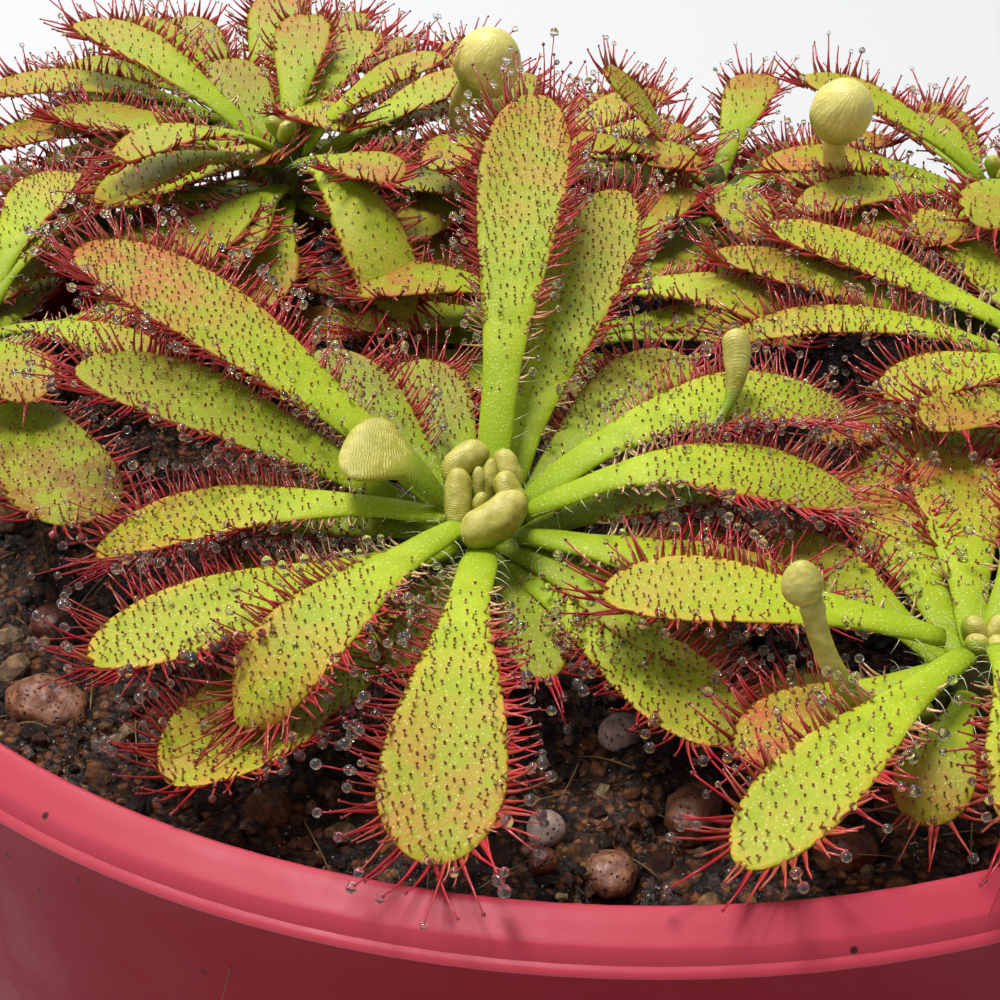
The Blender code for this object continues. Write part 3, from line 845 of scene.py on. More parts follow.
@dataclass(frozen=True)
class LeafForm:
    """The rules that a leaf's outline, thickness and tentacles follow, in millimetres."""

    foot_radius: float = 1.85
    joined_foot: float = 0.95
    foot_span: float = 1.15
    foot_taper: float = 2.5
    petiole_share: float = 0.36
    blade_start: float = 0.16
    blade_full: float = 0.74
    stalk_thickness: float = 0.66
    blade_thickness: float = 0.46
    relief: float = 0.10
    fan_start: float = 0.84
    rim_width: float = 0.34
    margin_width: float = 1.3
    fringe_depth: float = 0.24
    long_reach: float = 2.4
    short_reach: float = 0.12
    marginal_reach: float = 0.40

    def width(self, full: float, length: float, share: Array) -> Array:
        """Width at shares of a leaf's length.

        Args:
            full: The leaf's greatest width.
            length: The leaf's length.
            share: Shares of the length, 0 at the foot and 1 at the tip.

        Returns:
            The width at each share.
        """
        blade = self.petiole_share + (1.0 - self.petiole_share) * smooth_step(
            (share - self.blade_start) / (self.blade_full - self.blade_start))
        tip = np.clip((share - self.blade_full) / (1.0 - self.blade_full), 0.0, 1.0)
        rounded = full * blade * np.sqrt(np.clip(1.0 - tip * tip, 0.0, 1.0))
        foot = smooth_step(share * length / self.foot_taper)
        return self.foot_span + (rounded - self.foot_span) * foot

    def reach(self, share: Array, edge: Array, fringe: Array) -> Array:
        """How long a tentacle grows: long on the fringe, longest round the tip, short inside.

        Args:
            share: How far along the leaf it stands, 0 to 1.
            edge: Its distance from the leaf's margin.
            fringe: How much it belongs to the fringe, 0 to 1.

        Returns:
            The length at each place.
        """
        tip = smooth_step((share - 0.7) / 0.3)
        towards_edge = np.maximum(np.exp(-(edge / self.margin_width) ** 2), 0.8 * tip)
        short = self.short_reach + (self.marginal_reach - self.short_reach) * towards_edge
        long = self.long_reach * (0.66 + 0.4 * tip)
        return (short + (long - short) * fringe) * (0.4 + 0.6 * smooth_step((share - 0.1) / 0.5))

    def shares(self, stations: int) -> Array:
        """Shares of the length for rows of points, closer together round the tip.

        Args:
            stations: How many rows.

        Returns:
            The shares, 0 at the foot and 1 at the tip.
        """
        straight = np.linspace(0.0, self.blade_full, stations * 2 // 3, endpoint=False)
        turn = np.sin(np.linspace(0.0, math.pi / 2.0, stations - len(straight)))
        return np.concatenate([straight, self.blade_full + (1.0 - self.blade_full) * turn])


MATURE = LeafForm()
SPOON = LeafForm(blade_start=0.28, blade_full=0.83)
UNFOLDING = LeafForm(foot_span=1.2, petiole_share=0.42, blade_start=0.34, blade_full=0.76,
                     stalk_thickness=0.8, blade_thickness=0.95)


@dataclass(frozen=True)
class Leaf:
    """One leaf: angles in degrees in its plant's frame, sizes in millimetres.

    Its middle starts at its rise over the stem's foot, climbs by its lift there and falls by its
    droop at its tip; a higher bend keeps the turn for the tip. Blush reddens it; shade darkens it
    towards an old leaf's colour, partly for age and partly as painted shade on a leaf lying under
    others. Cup raises its margins, roll curls its tip under, and sink lowers its foot.
    """

    name: str
    bearing: float
    length: float
    width: float
    lift: float
    droop: float
    rise: float
    bend: float = 1.0
    own_node: bool = True
    blush: float = 0.25
    shade: float = 0.0
    cup: float = 0.12
    roll: float = 0.0
    sink: float = 0.0
    form: LeafForm = MATURE


def under(bearing: float, length: float, width: float, lift: float, droop: float, rise: float,
          blush: float = 0.5, shade: float = 0.25) -> Leaf:
    """A leaf that is joined to its plant's stem, older and redder than those on top, and darker
    with painted shade.
    """
    return Leaf("", bearing, length, width, lift, droop, rise, own_node=False, blush=blush,
                shade=shade)


def unders(*rows: tuple[float, ...]) -> tuple[Leaf, ...]:
    """Joined leaves, one for each row of bearing, length, width, lift, droop, rise and tints."""
    return tuple(under(*row) for row in rows)


@dataclass(frozen=True)
class Coil:
    """A young leaf rolled up over the crown: a short bent roll with fine ribs.

    Its place, its heading and its bow are in its plant's own frame; the place is measured from
    the middle of the ring of rolls, and the bow is how far its middle stands out from its ends.
    """

    name: str
    node: str
    place: Point
    heading: Point
    length: float
    radius: float
    bow: Point = (0.0, 0.0, 0.0)
    taper: float = 0.0
    stations: int = 44
    sides: int = 30
    rib_spacing: float = 0.10
    crease: float = 0.11

    def build(self, axes: Array, middle: Array, finish: Material) -> None:
        """Sweep the roll along its arc.

        Args:
            axes: The plant's axes, as columns.
            middle: The middle of the ring of rolls.
            finish: The young leaf's material.
        """
        share = np.sin(np.linspace(-math.pi / 2.0, math.pi / 2.0, self.stations))
        line = np.outer(share * self.length / 2.0, unit(np.array(self.heading))) \
            + np.outer(0.4 - share ** 2, self.bow) + np.array(self.place)
        line = line @ axes.T + middle
        radii = self.radius * (1.0 - np.abs(share) ** 3.4) ** 0.5 * (1.0 - self.taper * share)
        rings = tube_rings(line, np.maximum(radii, 0.01), self.sides, 1.0, axes[:, 2])
        flat = rings.reshape(-1, 3)
        crease = self.crease * rough_noise(flat, 0.75, 17, 2)
        centre = np.repeat(line, self.sides, axis=0)
        rings = (flat + unit(flat - centre) * crease[:, None]
                 * np.repeat(radii, self.sides)[:, None] / self.radius).reshape(rings.shape)
        angles = circle(self.sides)
        distance = share * self.length / 2.0
        ribs = TURN * (distance[:, None] / self.rib_spacing
                       + 1.6 * np.sin(angles + 0.6)[None, :])
        # Painted light: the roll's upper side gets a high along value and its underside a low one,
        # so the finish paints a pale highlight on top and green shade beneath.
        light = 0.35 + 0.65 * smooth_step((np.sin(angles) + 0.35) / 1.25)[None, :]
        skin = Skin()
        skin.add_tube(rings, {"ribs": ribs, "along": light * np.ones(ribs.shape)})
        settle(skin.piece(self.name, finish), self.node)


@dataclass(frozen=True)
class Rosette:
    """One plant: its stem's place, its height over the peat, its lean and its leaves.

    It has extra lower leaves set by a seed, rolls over its middle, and below its undergrowth a
    root. Its tentacles' bed wraps so many radians round the leaf's margin, a little inside it.
    """

    name: str
    x: float
    y: float
    height: float
    lean: float
    lean_bearing: float
    leaves: tuple[Leaf, ...]
    detail: Detail
    extra: int = 0
    seed: int = 1
    undergrowth: tuple[Leaf, ...] = ()
    stem_radius: float = 1.45
    top_rise: float = 4.4
    rolls: int = 0
    root: float = 2.5
    stem_sides: int = 20
    stem_relief: float = 0.16
    bed_wrap: float = 0.5
    bed_depth: float = 0.05
    underside: float = 0.25
    roll_ring: float = 0.62
    roll_length: float = 2.1
    roll_radius: float = 0.56
    hair_reach: float = 0.95

    def filling(self) -> tuple[Leaf, ...]:
        """More lower leaves between the named ones, a golden angle apart.

        Returns:
            The leaves.
        """
        random = np.random.default_rng(self.seed)
        made = []
        for index in range(self.extra):
            share = (index + 0.5) / self.extra
            made.append(under((index * GOLDEN_ANGLE + 40.0 * self.seed) % 360.0,
                              random.uniform(12.5, 15.5), random.uniform(4.0, 4.6),
                              10.0 + 34.0 * share + random.uniform(-4.0, 4.0),
                              random.uniform(-4.0, 16.0), 0.3 + 3.6 * share,
                              random.uniform(0.35, 0.9), 0.3 - 0.25 * share))
        return tuple(made)

    def frame(self) -> tuple[Array, Array]:
        """The stem's foot, and the axes, as columns, of the plant's leaning frame.

        Returns:
            The foot in millimetres, and the axes.
        """
        bearing, lean = math.radians(self.lean_bearing), math.radians(self.lean)
        across = np.array([-math.sin(bearing), math.cos(bearing), 0.0])
        towards = np.array([math.cos(bearing), math.sin(bearing), 0.0])
        up = np.array([0.0, 0.0, 1.0])
        turned = np.stack([math.cos(lean) * towards - math.sin(lean) * up, across,
                           math.sin(lean) * towards + math.cos(lean) * up], axis=1)
        level = np.stack([towards, across, up], axis=1)
        foot = np.array([self.x, self.y, float(peat_height(self.x, self.y)) + self.height])
        return foot, turned @ level.T

    def line(self, leaf: Leaf, shares: Array) -> tuple[Array, ...]:
        """Points, forward, sideways and upward directions along a leaf's middle.

        Args:
            leaf: The leaf.
            shares: Shares of its length, 0 at its foot and 1 at its tip.

        Returns:
            Four arrays of vectors, one row for each share.
        """
        origin, axes = self.frame()
        fine = np.linspace(0.0, 1.0, 61)
        middle = (fine[1:] + fine[:-1]) / 2.0
        slope = np.radians(leaf.lift - (leaf.lift + leaf.droop) * middle ** leaf.bend)
        bearing = math.radians(leaf.bearing)
        forward = np.stack([math.cos(bearing) * np.cos(slope),
                            math.sin(bearing) * np.cos(slope), np.sin(slope)], axis=1)
        radius = leaf.form.foot_radius if leaf.own_node else leaf.form.joined_foot
        foot = np.array([radius * math.cos(bearing), radius * math.sin(bearing), leaf.rise])
        step = leaf.length / (len(fine) - 1)
        line = np.vstack([foot, foot + np.cumsum(forward * step, axis=0)])
        line[:, 2] -= leaf.sink * (1.0 - smooth_step(fine / 0.45))
        points = np.stack([np.interp(shares, fine, line[:, axis]) for axis in range(3)], axis=1)
        ahead = unit(np.stack([np.interp(shares, middle, forward[:, axis])
                               for axis in range(3)], axis=1))
        side = unit(np.cross(np.array([0.0, 0.0, 1.0]), ahead))
        upward = np.cross(ahead, side)
        return points @ axes.T + origin, ahead @ axes.T, side @ axes.T, upward @ axes.T

    def leaf_rows(self, leaf: Leaf, turns: Array) -> dict[str, Array]:
        """A leaf's surface at stations along it and at angles round its section.

        Args:
            leaf: The leaf.
            turns: Angles round the section, 0 at its left margin and half a turn at its right.

        Returns:
            The points and each value of them, by row and column.
        """
        form = leaf.form
        shares = form.shares(self.detail.value.stations)
        points, ahead, side, upward = self.line(leaf, shares)
        half = form.width(leaf.width, leaf.length, shares)[:, None] / 2.0
        across = np.cos(turns)[None, :] * np.ones((len(shares), 1))
        tip = np.clip((shares - form.blade_full) / (1.0 - form.blade_full), 0.0, 1.0)
        thick = form.stalk_thickness + (form.blade_thickness - form.stalk_thickness) \
            * smooth_step(shares / 0.5)
        thick = (thick * np.sqrt(np.clip(1.0 - tip ** 4, 0.0, 1.0)))[:, None] / 2.0
        blade = smooth_step((shares - 0.3) / 0.4)[:, None]
        cup = leaf.cup * blade * (1.0 - 1.6 * leaf.roll * tip[:, None] ** 2)
        height = thick * np.sin(turns)[None, :] + cup * half * across ** 2 \
            - leaf.roll * 0.5 * half * tip[:, None] ** 2 * across ** 2
        rows = points[:, None, :] + side[:, None, :] * (half * across)[:, :, None] \
            + upward[:, None, :] * height[:, :, None]
        flat = rows.reshape(-1, 3)
        swell = form.relief * rough_noise(flat, 2.6, 11) * np.repeat(
            smooth_step(shares / 0.25), rows.shape[1])
        flat = flat + np.repeat(upward, rows.shape[1], axis=0) * swell[:, None]
        rows = flat.reshape(rows.shape)
        edge = np.minimum(half * (1.0 - np.abs(across)), (1.0 - shares)[:, None] * leaf.length)
        fan = self.line(leaf, np.minimum(shares, form.fan_start))[0]
        outward = unit(rows - fan[:, None, :])
        return {"points": rows, "edge": edge, "outward": outward,
                "share": shares[:, None] * np.ones_like(across), "across": across,
                "ahead": ahead[:, None, :] + np.zeros_like(rows),
                "upward": upward[:, None, :] + np.zeros_like(rows)}

    def leaf_skin(self, leaf: Leaf, skin: Skin) -> None:
        """Add a leaf's whole surface to a skin, with what colours it.

        Args:
            leaf: The leaf.
            skin: The surface that it is added to.
        """
        lanes = self.detail.value.lanes
        turns = np.arange(2 * lanes) * math.pi / lanes
        rows = self.leaf_rows(leaf, turns)
        ones = np.ones_like(rows["share"])
        # Painted shade: each leaf's underside takes more of the shade value, darker, and more
        # blush.
        below = self.underside * smooth_step(-np.sin(turns))[None, :] * ones
        values = {"along": rows["share"],
                  "rim": np.exp(-(rows["edge"] / leaf.form.rim_width) ** 2),
                  "blush": leaf.blush * ones + below,
                  "shade": np.minimum(leaf.shade + below, 1.0)}
        if leaf.form is UNFOLDING:
            values["ribs"] = TURN * (44.0 * rows["share"] + 3.5 * rows["across"])
        skin.add_tube(rows["points"][:, ::-1], {
            name: value[:, ::-1] for name, value in values.items()})

    def bed(self, leaf: Leaf, skin: Skin) -> None:
        """Add the faces that a leaf's tentacles grow on, with what each point there asks for.

        Args:
            leaf: The leaf.
            skin: The surface that they are added to.
        """
        form = leaf.form
        turns = np.linspace(-self.bed_wrap, math.pi + self.bed_wrap, self.detail.value.lanes + 6)
        rows = self.leaf_rows(leaf, turns)
        share, up = rows["share"], rows["upward"]
        fringe = np.exp(-(rows["edge"] / form.fringe_depth) ** 2)
        wide = fringe[:, :, None]
        lean = unit(up * (1.0 - 0.72 * wide) + rows["outward"] * (0.12 + wide)
                    + rows["ahead"] * 0.22 * wide)
        reach = form.reach(share, rows["edge"], fringe) * MM
        flush = np.clip(smooth_step((share - 0.22) / 0.3) + 0.3 * leaf.blush, 0.0, 1.0)
        skin.add_sheet(rows["points"] - up * self.bed_depth, {
            "lean": lean, "reach": reach, "bow": up * (0.2 * wide) * reach[:, :, None],
            "fringe": fringe, "girth": 0.55 + 0.45 * fringe,
            "crop": smooth_step((share - 0.13) / 0.42) * (1.0 - 0.5 * leaf.shade),
            "flush": flush * (0.5 + 0.5 * fringe)}, closed=False)

    def stem(self, palette: "Palette") -> None:
        """Make the short stem down into the peat, rough with the feet of old leaves.

        Args:
            palette: The finishes and the trees.
        """
        origin, axes = self.frame()
        heights = np.linspace(-self.height - self.root, self.top_rise + 0.7, 30)
        line = heights[:, None] * axes[:, 2] + origin
        share = np.linspace(0.0, 1.0, len(heights))
        radii = self.stem_radius * (1.15 - 0.25 * share) * np.sqrt(
            np.clip(1.0 - share ** 6, 0.02, 1.0))
        rings = tube_rings(line, radii, self.stem_sides, 1.0, (1.0, 0.0, 0.0))
        flat = rings.reshape(-1, 3)
        rough = rough_noise(flat * (1.0, 1.0, 0.5), 0.9, 23, 3)
        outward = unit(flat - np.repeat(line, self.stem_sides, axis=0))
        skin = Skin()
        skin.add_tube((flat + outward * self.stem_relief * rough[:, None]).reshape(rings.shape), {})
        settle(skin.piece(f"{self.name}_stem", palette.stem), f"{self.name}_crown")

    def young_rolls(self, palette: "Palette") -> None:
        """Make small rolled-up leaves over the middle of the plant, leaning outwards.

        Args:
            palette: The finishes and the trees.
        """
        origin, axes = self.frame()
        top = origin + (self.top_rise + 0.5) * axes[:, 2]
        for index in range(self.rolls):
            turn = TURN * (index + 0.35) / self.rolls
            side, front = math.cos(turn), math.sin(turn)
            place = (self.roll_ring * side, self.roll_ring * front, 0.1)
            heading = (0.35 * side - 0.3 * front, 0.35 * front + 0.3 * side, 0.8)
            Coil(f"{self.name}_coil_{index + 1}", "", place, heading,
                 self.roll_length - 0.2 * index, self.roll_radius).build(axes, top, palette.young)

    def wisps(self, skin: Skin) -> None:
        """Add the leaf feet's margins, where white hairs grow instead of tentacles.

        Args:
            skin: The surface that they are added to.
        """
        for leaf in self.leaves:
            for turns in (np.array([0.25, -0.1]), np.array([math.pi + 0.1, math.pi - 0.25])):
                rows = self.leaf_rows(leaf, turns)
                low = int(np.searchsorted(rows["share"][:, 0], 0.5))
                part = {name: value[:low] for name, value in rows.items()}
                ones = np.ones_like(part["share"])
                skin.add_sheet(part["points"], {
                    "lean": unit(part["outward"] + 0.5 * part["upward"]),
                    "bow": (part["ahead"] - part["upward"]) * 0.25 * MM,
                    "reach": self.hair_reach * MM * ones,
                    "fringe": ones, "girth": ones, "flush": 0.0 * ones,
                    "crop": 0.9 - 1.2 * part["share"]}, closed=False)

    def build(self, palette: "Palette") -> None:
        """Make the plant's leaves and stem, then grow what stands on them.

        Args:
            palette: The finishes and the trees.
        """
        joined, bed, wisps = Skin(), Skin(), Skin()
        for leaf in self.leaves + self.undergrowth + self.filling():
            skin = Skin() if leaf.own_node else joined
            self.leaf_skin(leaf, skin)
            young = leaf.form is UNFOLDING
            if leaf.own_node:
                settle(skin.piece(f"{self.name}_{leaf.name}",
                                  palette.young if young else palette.leaf),
                       f"{self.name}_leaf_{leaf.name}")
            if not young:
                self.bed(leaf, bed)
        settle(joined.piece(f"{self.name}_lower_leaves", palette.leaf),
               f"{self.name}_crown")
        self.stem(palette)
        self.young_rolls(palette)
        self.wisps(wisps)
        grade = self.detail.value
        faces = bed.piece("leaf_faces", None)
        shared = {"Seed": len(self.name) * 7, "Blade_Spacing": grade.blade_spacing * MM,
                  "Fringe_Spacing": grade.fringe_spacing * MM}
        grow(faces, palette.growth[Growth.STALKS], f"{self.name}_tentacles", "tentacle",
             ("climb", "flush"), Segments=grade.segments,
             Stalk_Radius=grade.stalk_radius * MM, Finish=palette.stalk, **shared)
        grow(faces, palette.growth[Growth.GLANDS], f"{self.name}_glands", "gland", (),
             Gland_Sides=grade.gland_sides, Gland_Rings=grade.gland_rings,
             Finish=palette.gland, **shared)
        grow(faces, palette.growth[Growth.DROPS], f"{self.name}_dew", "dew", (),
             Drop_Share=grade.drop_share, Drop_Rings=grade.drop_rings,
             Finish=palette.dew, **shared)
        margins = wisps.piece("margin_faces", None)
        grow(margins, palette.growth[Growth.STALKS], f"{self.name}_hairs", "young_leaf",
             ("climb",), Seed=2, Segments=3, Fringe_Spacing=0.5 * MM, Blade_Spacing=0.5 * MM,
             Stalk_Radius=0.022 * MM, Sway=0.8, Finish=palette.hair)
        for spare in (faces, margins):
            bpy.data.objects.remove(spare)


# ------------------------ tentacles


class Growth(Enum):
    """What one tree makes of the same roots."""

    STALKS = "stalks"
    GLANDS = "glands"
    DROPS = "drops"


class StrewingTree(Graph):
    """Geometry Nodes that set copies of something on faces; its inputs are named."""

    INPUTS: dict[str, tuple[str, Any]] = {}

    def __init__(self, name: str) -> None:
        """Start the tree and make its inputs.

        Args:
            name: The tree's name.
        """
        super().__init__(bpy.data.node_groups.new(name, "GeometryNodeTree"))
        face = self.tree.interface
        face.new_socket("Faces", in_out="INPUT", socket_type="NodeSocketGeometry")
        for title, (kind, value) in self.INPUTS.items():
            socket = face.new_socket(title, in_out="INPUT", socket_type=f"NodeSocket{kind}")
            if value is not None:
                socket.default_value = value
        face.new_socket("Growth", in_out="OUTPUT", socket_type="NodeSocketGeometry")
        self.given = self.node("NodeGroupInput").outputs

    def made(self, kind: str, inputs: dict[Any, Any] | None = None, **settings: Any) -> Socket:
        """The first output of a new geometry node, whose kind is named without its prefix."""
        return self.node(f"GeometryNode{kind}", inputs, **settings).outputs[0]

    def named(self, name: str, kind: str = "FLOAT") -> Socket:
        """An attribute by name."""
        return self.made("InputNamedAttribute", {"Name": name}, data_type=kind)

    def keep(self, geometry: Socket, name: str, value: Any,
             kind: str = "FLOAT", domain: str = "POINT") -> Socket:
        """Store a value at each point, or for each copy, under a name."""
        return self.made("StoreNamedAttribute", {"Geometry": geometry, "Name": name,
                                                 "Value": value}, data_type=kind, domain=domain)

    def chance(self, seed_step: int, low: Any, high: Any) -> Socket:
        """A random number for each point, or a random vector if the lowest is a tuple.

        Args:
            seed_step: Which draw it is.
            low: The lowest, a number or a tuple.
            high: The highest.

        Returns:
            The number or the vector.
        """
        vector = isinstance(low, tuple)
        first = 0 if vector else 2
        seed = self.math("ADD", self.given["Seed"], seed_step)
        node = self.node("FunctionNodeRandomValue", {first: low, first + 1: high, "Seed": seed},
                         data_type="FLOAT_VECTOR" if vector else "FLOAT")
        return node.outputs[0 if vector else 1]

    def strewn(self, spacing: str, crop: str, most: float, **chosen: Any) -> Socket:
        """Points on the faces.

        Args:
            spacing: The input that says how near each other they may be.
            crop: The attribute that thins them out.
            most: The most points in a square metre before that.
            **chosen: Selection, if only some faces take part.

        Returns:
            The points.
        """
        return self.made("DistributePointsOnFaces", {
            "Mesh": self.given["Faces"], "Distance Min": self.given[spacing],
            "Density Max": most, "Density Factor": self.named(crop),
            "Seed": self.given["Seed"], **chosen}, distribute_method="POISSON")

    def finish(self, geometry: Socket) -> None:
        """Give the geometry its material and make it the tree's result."""
        self.node("NodeGroupOutput", {0: self.made("SetMaterial", {
            "Geometry": geometry, "Material": self.given["Finish"]})})


class TentacleTree(StrewingTree):
    """Geometry Nodes that grow tentacles on faces: their stalks, their glands or their drops."""

    INPUTS = {
        "Blade Spacing": ("Float", 0.0006), "Fringe Spacing": ("Float", 0.0003),
        "Seed": ("Int", 1), "Segments": ("Int", 4), "Stalk Radius": ("Float", 0.000085),
        "Gland Radius": ("Float", 0.000105), "Gland Sides": ("Int", 5), "Gland Rings": ("Int", 3),
        "Drop Radius": ("Float", 0.00027), "Drop Share": ("Float", 0.4), "Drop Rings": ("Int", 6),
        "Sway": ("Float", 0.32), "Finish": ("Material", None)}
    FRINGE = 0.45
    MOST = 4.0e7

    def __init__(self, growth: Growth) -> None:
        """Build the tree for one kind of growth.

        Args:
            growth: What it makes.
        """
        super().__init__(f"Sundew {growth.value}")
        grown = {Growth.STALKS: self.stalks, Growth.GLANDS: self.glands,
                 Growth.DROPS: self.drops}[growth]()
        self.finish(self.made("SetShadeSmooth", {0: grown}))

    def scatter(self, fringe: bool) -> Socket:
        """Points on the fringe's faces, or on the blade's, no nearer than their spacing.

        Args:
            fringe: Whether they are the fringe's.

        Returns:
            The points.
        """
        test = self.node("FunctionNodeCompare", {0: self.named("fringe"), 1: self.FRINGE},
                         operation="GREATER_THAN" if fringe else "LESS_EQUAL")
        return self.strewn("Fringe Spacing" if fringe else "Blade Spacing", "crop", self.MOST,
                           Selection=test.outputs[0])

    def roots(self, fringe: bool) -> Socket:
        """The points that tentacles stand on, each with its growth and its bend.

        Args:
            fringe: Whether they are the fringe's.

        Returns:
            The points.
        """
        stray = self.scaled(self.chance(1, (-1.0, -1.0, -1.0), (1.0, 1.0, 1.0)),
                            self.given["Sway"])
        heading = self.vector("NORMALIZE", self.vector(
            "ADD", self.named("lean", "FLOAT_VECTOR"), stray))
        length = self.times(self.named("reach"), self.chance(2, 0.72, 1.16))
        points = self.keep(self.scatter(fringe), "growth", self.scaled(heading, length),
                           "FLOAT_VECTOR")
        droop = self.scaled(self.chance(3, (-0.16, -0.16, -0.2), (0.16, 0.16, 0.16)), length)
        points = self.keep(points, "bend", self.vector(
            "ADD", self.named("bow", "FLOAT_VECTOR"), droop), "FLOAT_VECTOR")
        return self.keep(points, "vary", self.chance(4, 0.0, 1.0))

    def joined(self, parts: Iterable[Socket]) -> Socket:
        """Several geometries as one.

        Args:
            parts: The geometries.

        Returns:
            One geometry.
        """
        both = self.node("GeometryNodeJoinGeometry")
        for part in parts:
            self.tree.links.new(part, both.inputs[0])
        return both.outputs[0]

    def stalks(self) -> Socket:
        """Thin bent tapering tubes from the roots.

        Returns:
            Their geometry.
        """
        copies = []
        for fringe in (True, False):
            count = self.math("ADD", self.given["Segments"], 1.0) if fringe else 2
            line = self.made("ResampleCurve", {"Curve": self.made("CurvePrimitiveLine"),
                                               "Count": count})
            line = self.keep(line, "climb", self.made("SplineParameter"))
            copies.append(self.made("InstanceOnPoints", {
                "Points": self.roots(fringe), "Instance": line, "Scale": (0.0, 0.0, 0.0)}))
        lines = self.made("RealizeInstances", {0: self.joined(copies)})
        climb = self.named("climb")
        path = self.vector(
            "ADD", self.scaled(self.named("growth", "FLOAT_VECTOR"), climb),
            self.scaled(self.named("bend", "FLOAT_VECTOR"), self.times(climb, climb)))
        lines = self.made("SetPosition", {"Geometry": lines, "Offset": path})
        left = self.math("SUBTRACT", 1.0, climb)
        taper = self.math("MULTIPLY_ADD", left, left, 0.4)
        radius = self.times(self.times(taper, self.named("girth")), self.given["Stalk Radius"])
        ring = self.made("CurvePrimitiveCircle", {"Resolution": 3, "Radius": 1.0})
        return self.made("CurveToMesh", {"Curve": lines, "Profile Curve": ring, "Scale": radius,
                                         "Fill Caps": True})

    def tips(self, roots: Socket, past: Any) -> tuple[Socket, Socket]:
        """The roots moved to their tentacles' tips and a little past them.

        Args:
            roots: The points.
            past: How far past the tip.

        Returns:
            The moved points, and the rotation that points along each tentacle's end.
        """
        growth, bend = (self.named(name, "FLOAT_VECTOR") for name in ("growth", "bend"))
        heading = self.vector("NORMALIZE", self.vector("ADD", growth, self.scaled(bend, 2.0)))
        offset = self.vector("ADD", self.vector("ADD", growth, bend), self.scaled(heading, past))
        moved = self.made("SetPosition", {"Geometry": roots, "Offset": offset})
        turn = self.node("FunctionNodeAlignRotationToVector", {"Vector": heading}, axis="Z")
        return moved, turn.outputs[0]

    def wet(self) -> Socket:
        """Whether a tentacle carries a drop: most that do are on the fringe."""
        chance = self.times(self.given["Drop Share"],
                            self.math("MULTIPLY_ADD", self.named("fringe"), 0.85, 0.15))
        return self.node("FunctionNodeCompare", {0: self.chance(5, 0.0, 1.0), 1: chance},
                         operation="LESS_THAN").outputs[0]

    def glands(self) -> Socket:
        """A small head on every tentacle, coarser on the blade and smaller inside a drop.

        Returns:
            Their geometry.
        """
        size = self.times(self.given["Gland Radius"], self.times(
            self.math("MULTIPLY_ADD", self.named("vary"), 0.45, 0.75),
            self.math("MULTIPLY_ADD", self.named("girth"), 0.6, 0.4)))
        size = self.times(size, self.math("MULTIPLY_ADD", self.wet(), -0.5, 1.0))
        scale = self.node("ShaderNodeCombineXYZ", {
            0: size, 1: size, 2: self.times(size, 1.2)}).outputs[0]
        copies = []
        for fringe in (True, False):
            points, turn = self.tips(self.roots(fringe), 0.0)
            head = self.made("MeshUVSphere", {
                "Segments": self.given["Gland Sides"],
                "Rings": self.given["Gland Rings"] if fringe else 2, "Radius": 1.0})
            copies.append(self.made("InstanceOnPoints", {
                "Points": points, "Instance": head, "Rotation": turn, "Scale": scale}))
        return self.made("RealizeInstances", {0: self.joined(copies)})

    def drops(self) -> Socket:
        """A clear drop round the head of some of the longer tentacles.

        Returns:
            Their geometry.
        """
        size = self.times(self.given["Drop Radius"], self.chance(6, 0.6, 1.1))
        size = self.times(size, self.math("MULTIPLY_ADD", self.named("fringe"), 0.4, 0.6))
        points, turn = self.tips(self.joined([self.roots(True), self.roots(False)]),
                                 self.times(size, 0.5))
        drop = self.made("MeshUVSphere", {
            "Segments": self.math("ADD", self.given["Drop Rings"], 2.0),
            "Rings": self.given["Drop Rings"], "Radius": 1.0})
        copies = self.made("InstanceOnPoints", {
            "Points": points, "Selection": self.wet(), "Instance": drop, "Rotation": turn,
            "Scale": size})
        return self.made("RealizeInstances", {0: copies})


def grow(bed: Piece, tree: bpy.types.NodeTree, name: str, slot: str, kept: Iterable[str],
         **inputs: Any) -> None:
    """Run a tree on an object and make its result a plain mesh of its own, settled.

    Args:
        bed: The object that the tree works on.
        tree: The Geometry Nodes tree.
        name: The new piece's name.
        slot: Not used.
        kept: The attributes that its finish reads; the rest are dropped.
        **inputs: The tree's named inputs, with _ for a space.
    """
    modifier = bed.modifiers.new("growth", "NODES")
    modifier.node_group = tree
    sockets = {item.name: item.identifier for item in tree.interface.items_tree
               if item.item_type == "SOCKET" and item.in_out == "INPUT"}
    for title, value in inputs.items():
        modifier[sockets[title.replace("_", " ")]] = value
    mesh = evaluated_mesh(bed, preserve_all_data_layers=True)
    bed.modifiers.remove(modifier)
    mesh.name = name
    keep = {*kept, "position", "sharp_face", "material_index", ".corner_vert", ".corner_edge",
            ".edge_verts"}
    for attribute in [each.name for each in mesh.attributes if each.name not in keep]:
        mesh.attributes.remove(mesh.attributes[attribute])
    settle(link(name, mesh))


# ------------------------ peat and pot


def peat_height(x: Array | float, y: Array | float) -> Array:
    """Height of the peat's lumpy top over the pot's base, in millimetres."""
    lumps = np.sin(0.41 * x + 1.3) * np.sin(0.37 * y + 0.4) + 0.6 * np.sin(0.83 * x - 0.61 * y)
    return POT_HEIGHT - PEAT_DROP + LUMP_HEIGHT * lumps


def inner_radius(height: float) -> float:
    """Inside radius of the pot at a height over its base, in millimetres.

    Args:
        height: The height.

    Returns:
        The radius.
    """
    under_collar = POT_HEIGHT - COLLAR_DEPTH - height
    if under_collar <= 0.0:
        return MOUTH_RADIUS - COLLAR_DRAFT * (POT_HEIGHT - height)
    step = STEP_DEPTH * float(smooth_step(under_collar / STEP_HEIGHT))
    return (MOUTH_RADIUS - COLLAR_DRAFT * COLLAR_DEPTH - step
            - LOWER_DRAFT * max(under_collar - STEP_HEIGHT, 0.0))


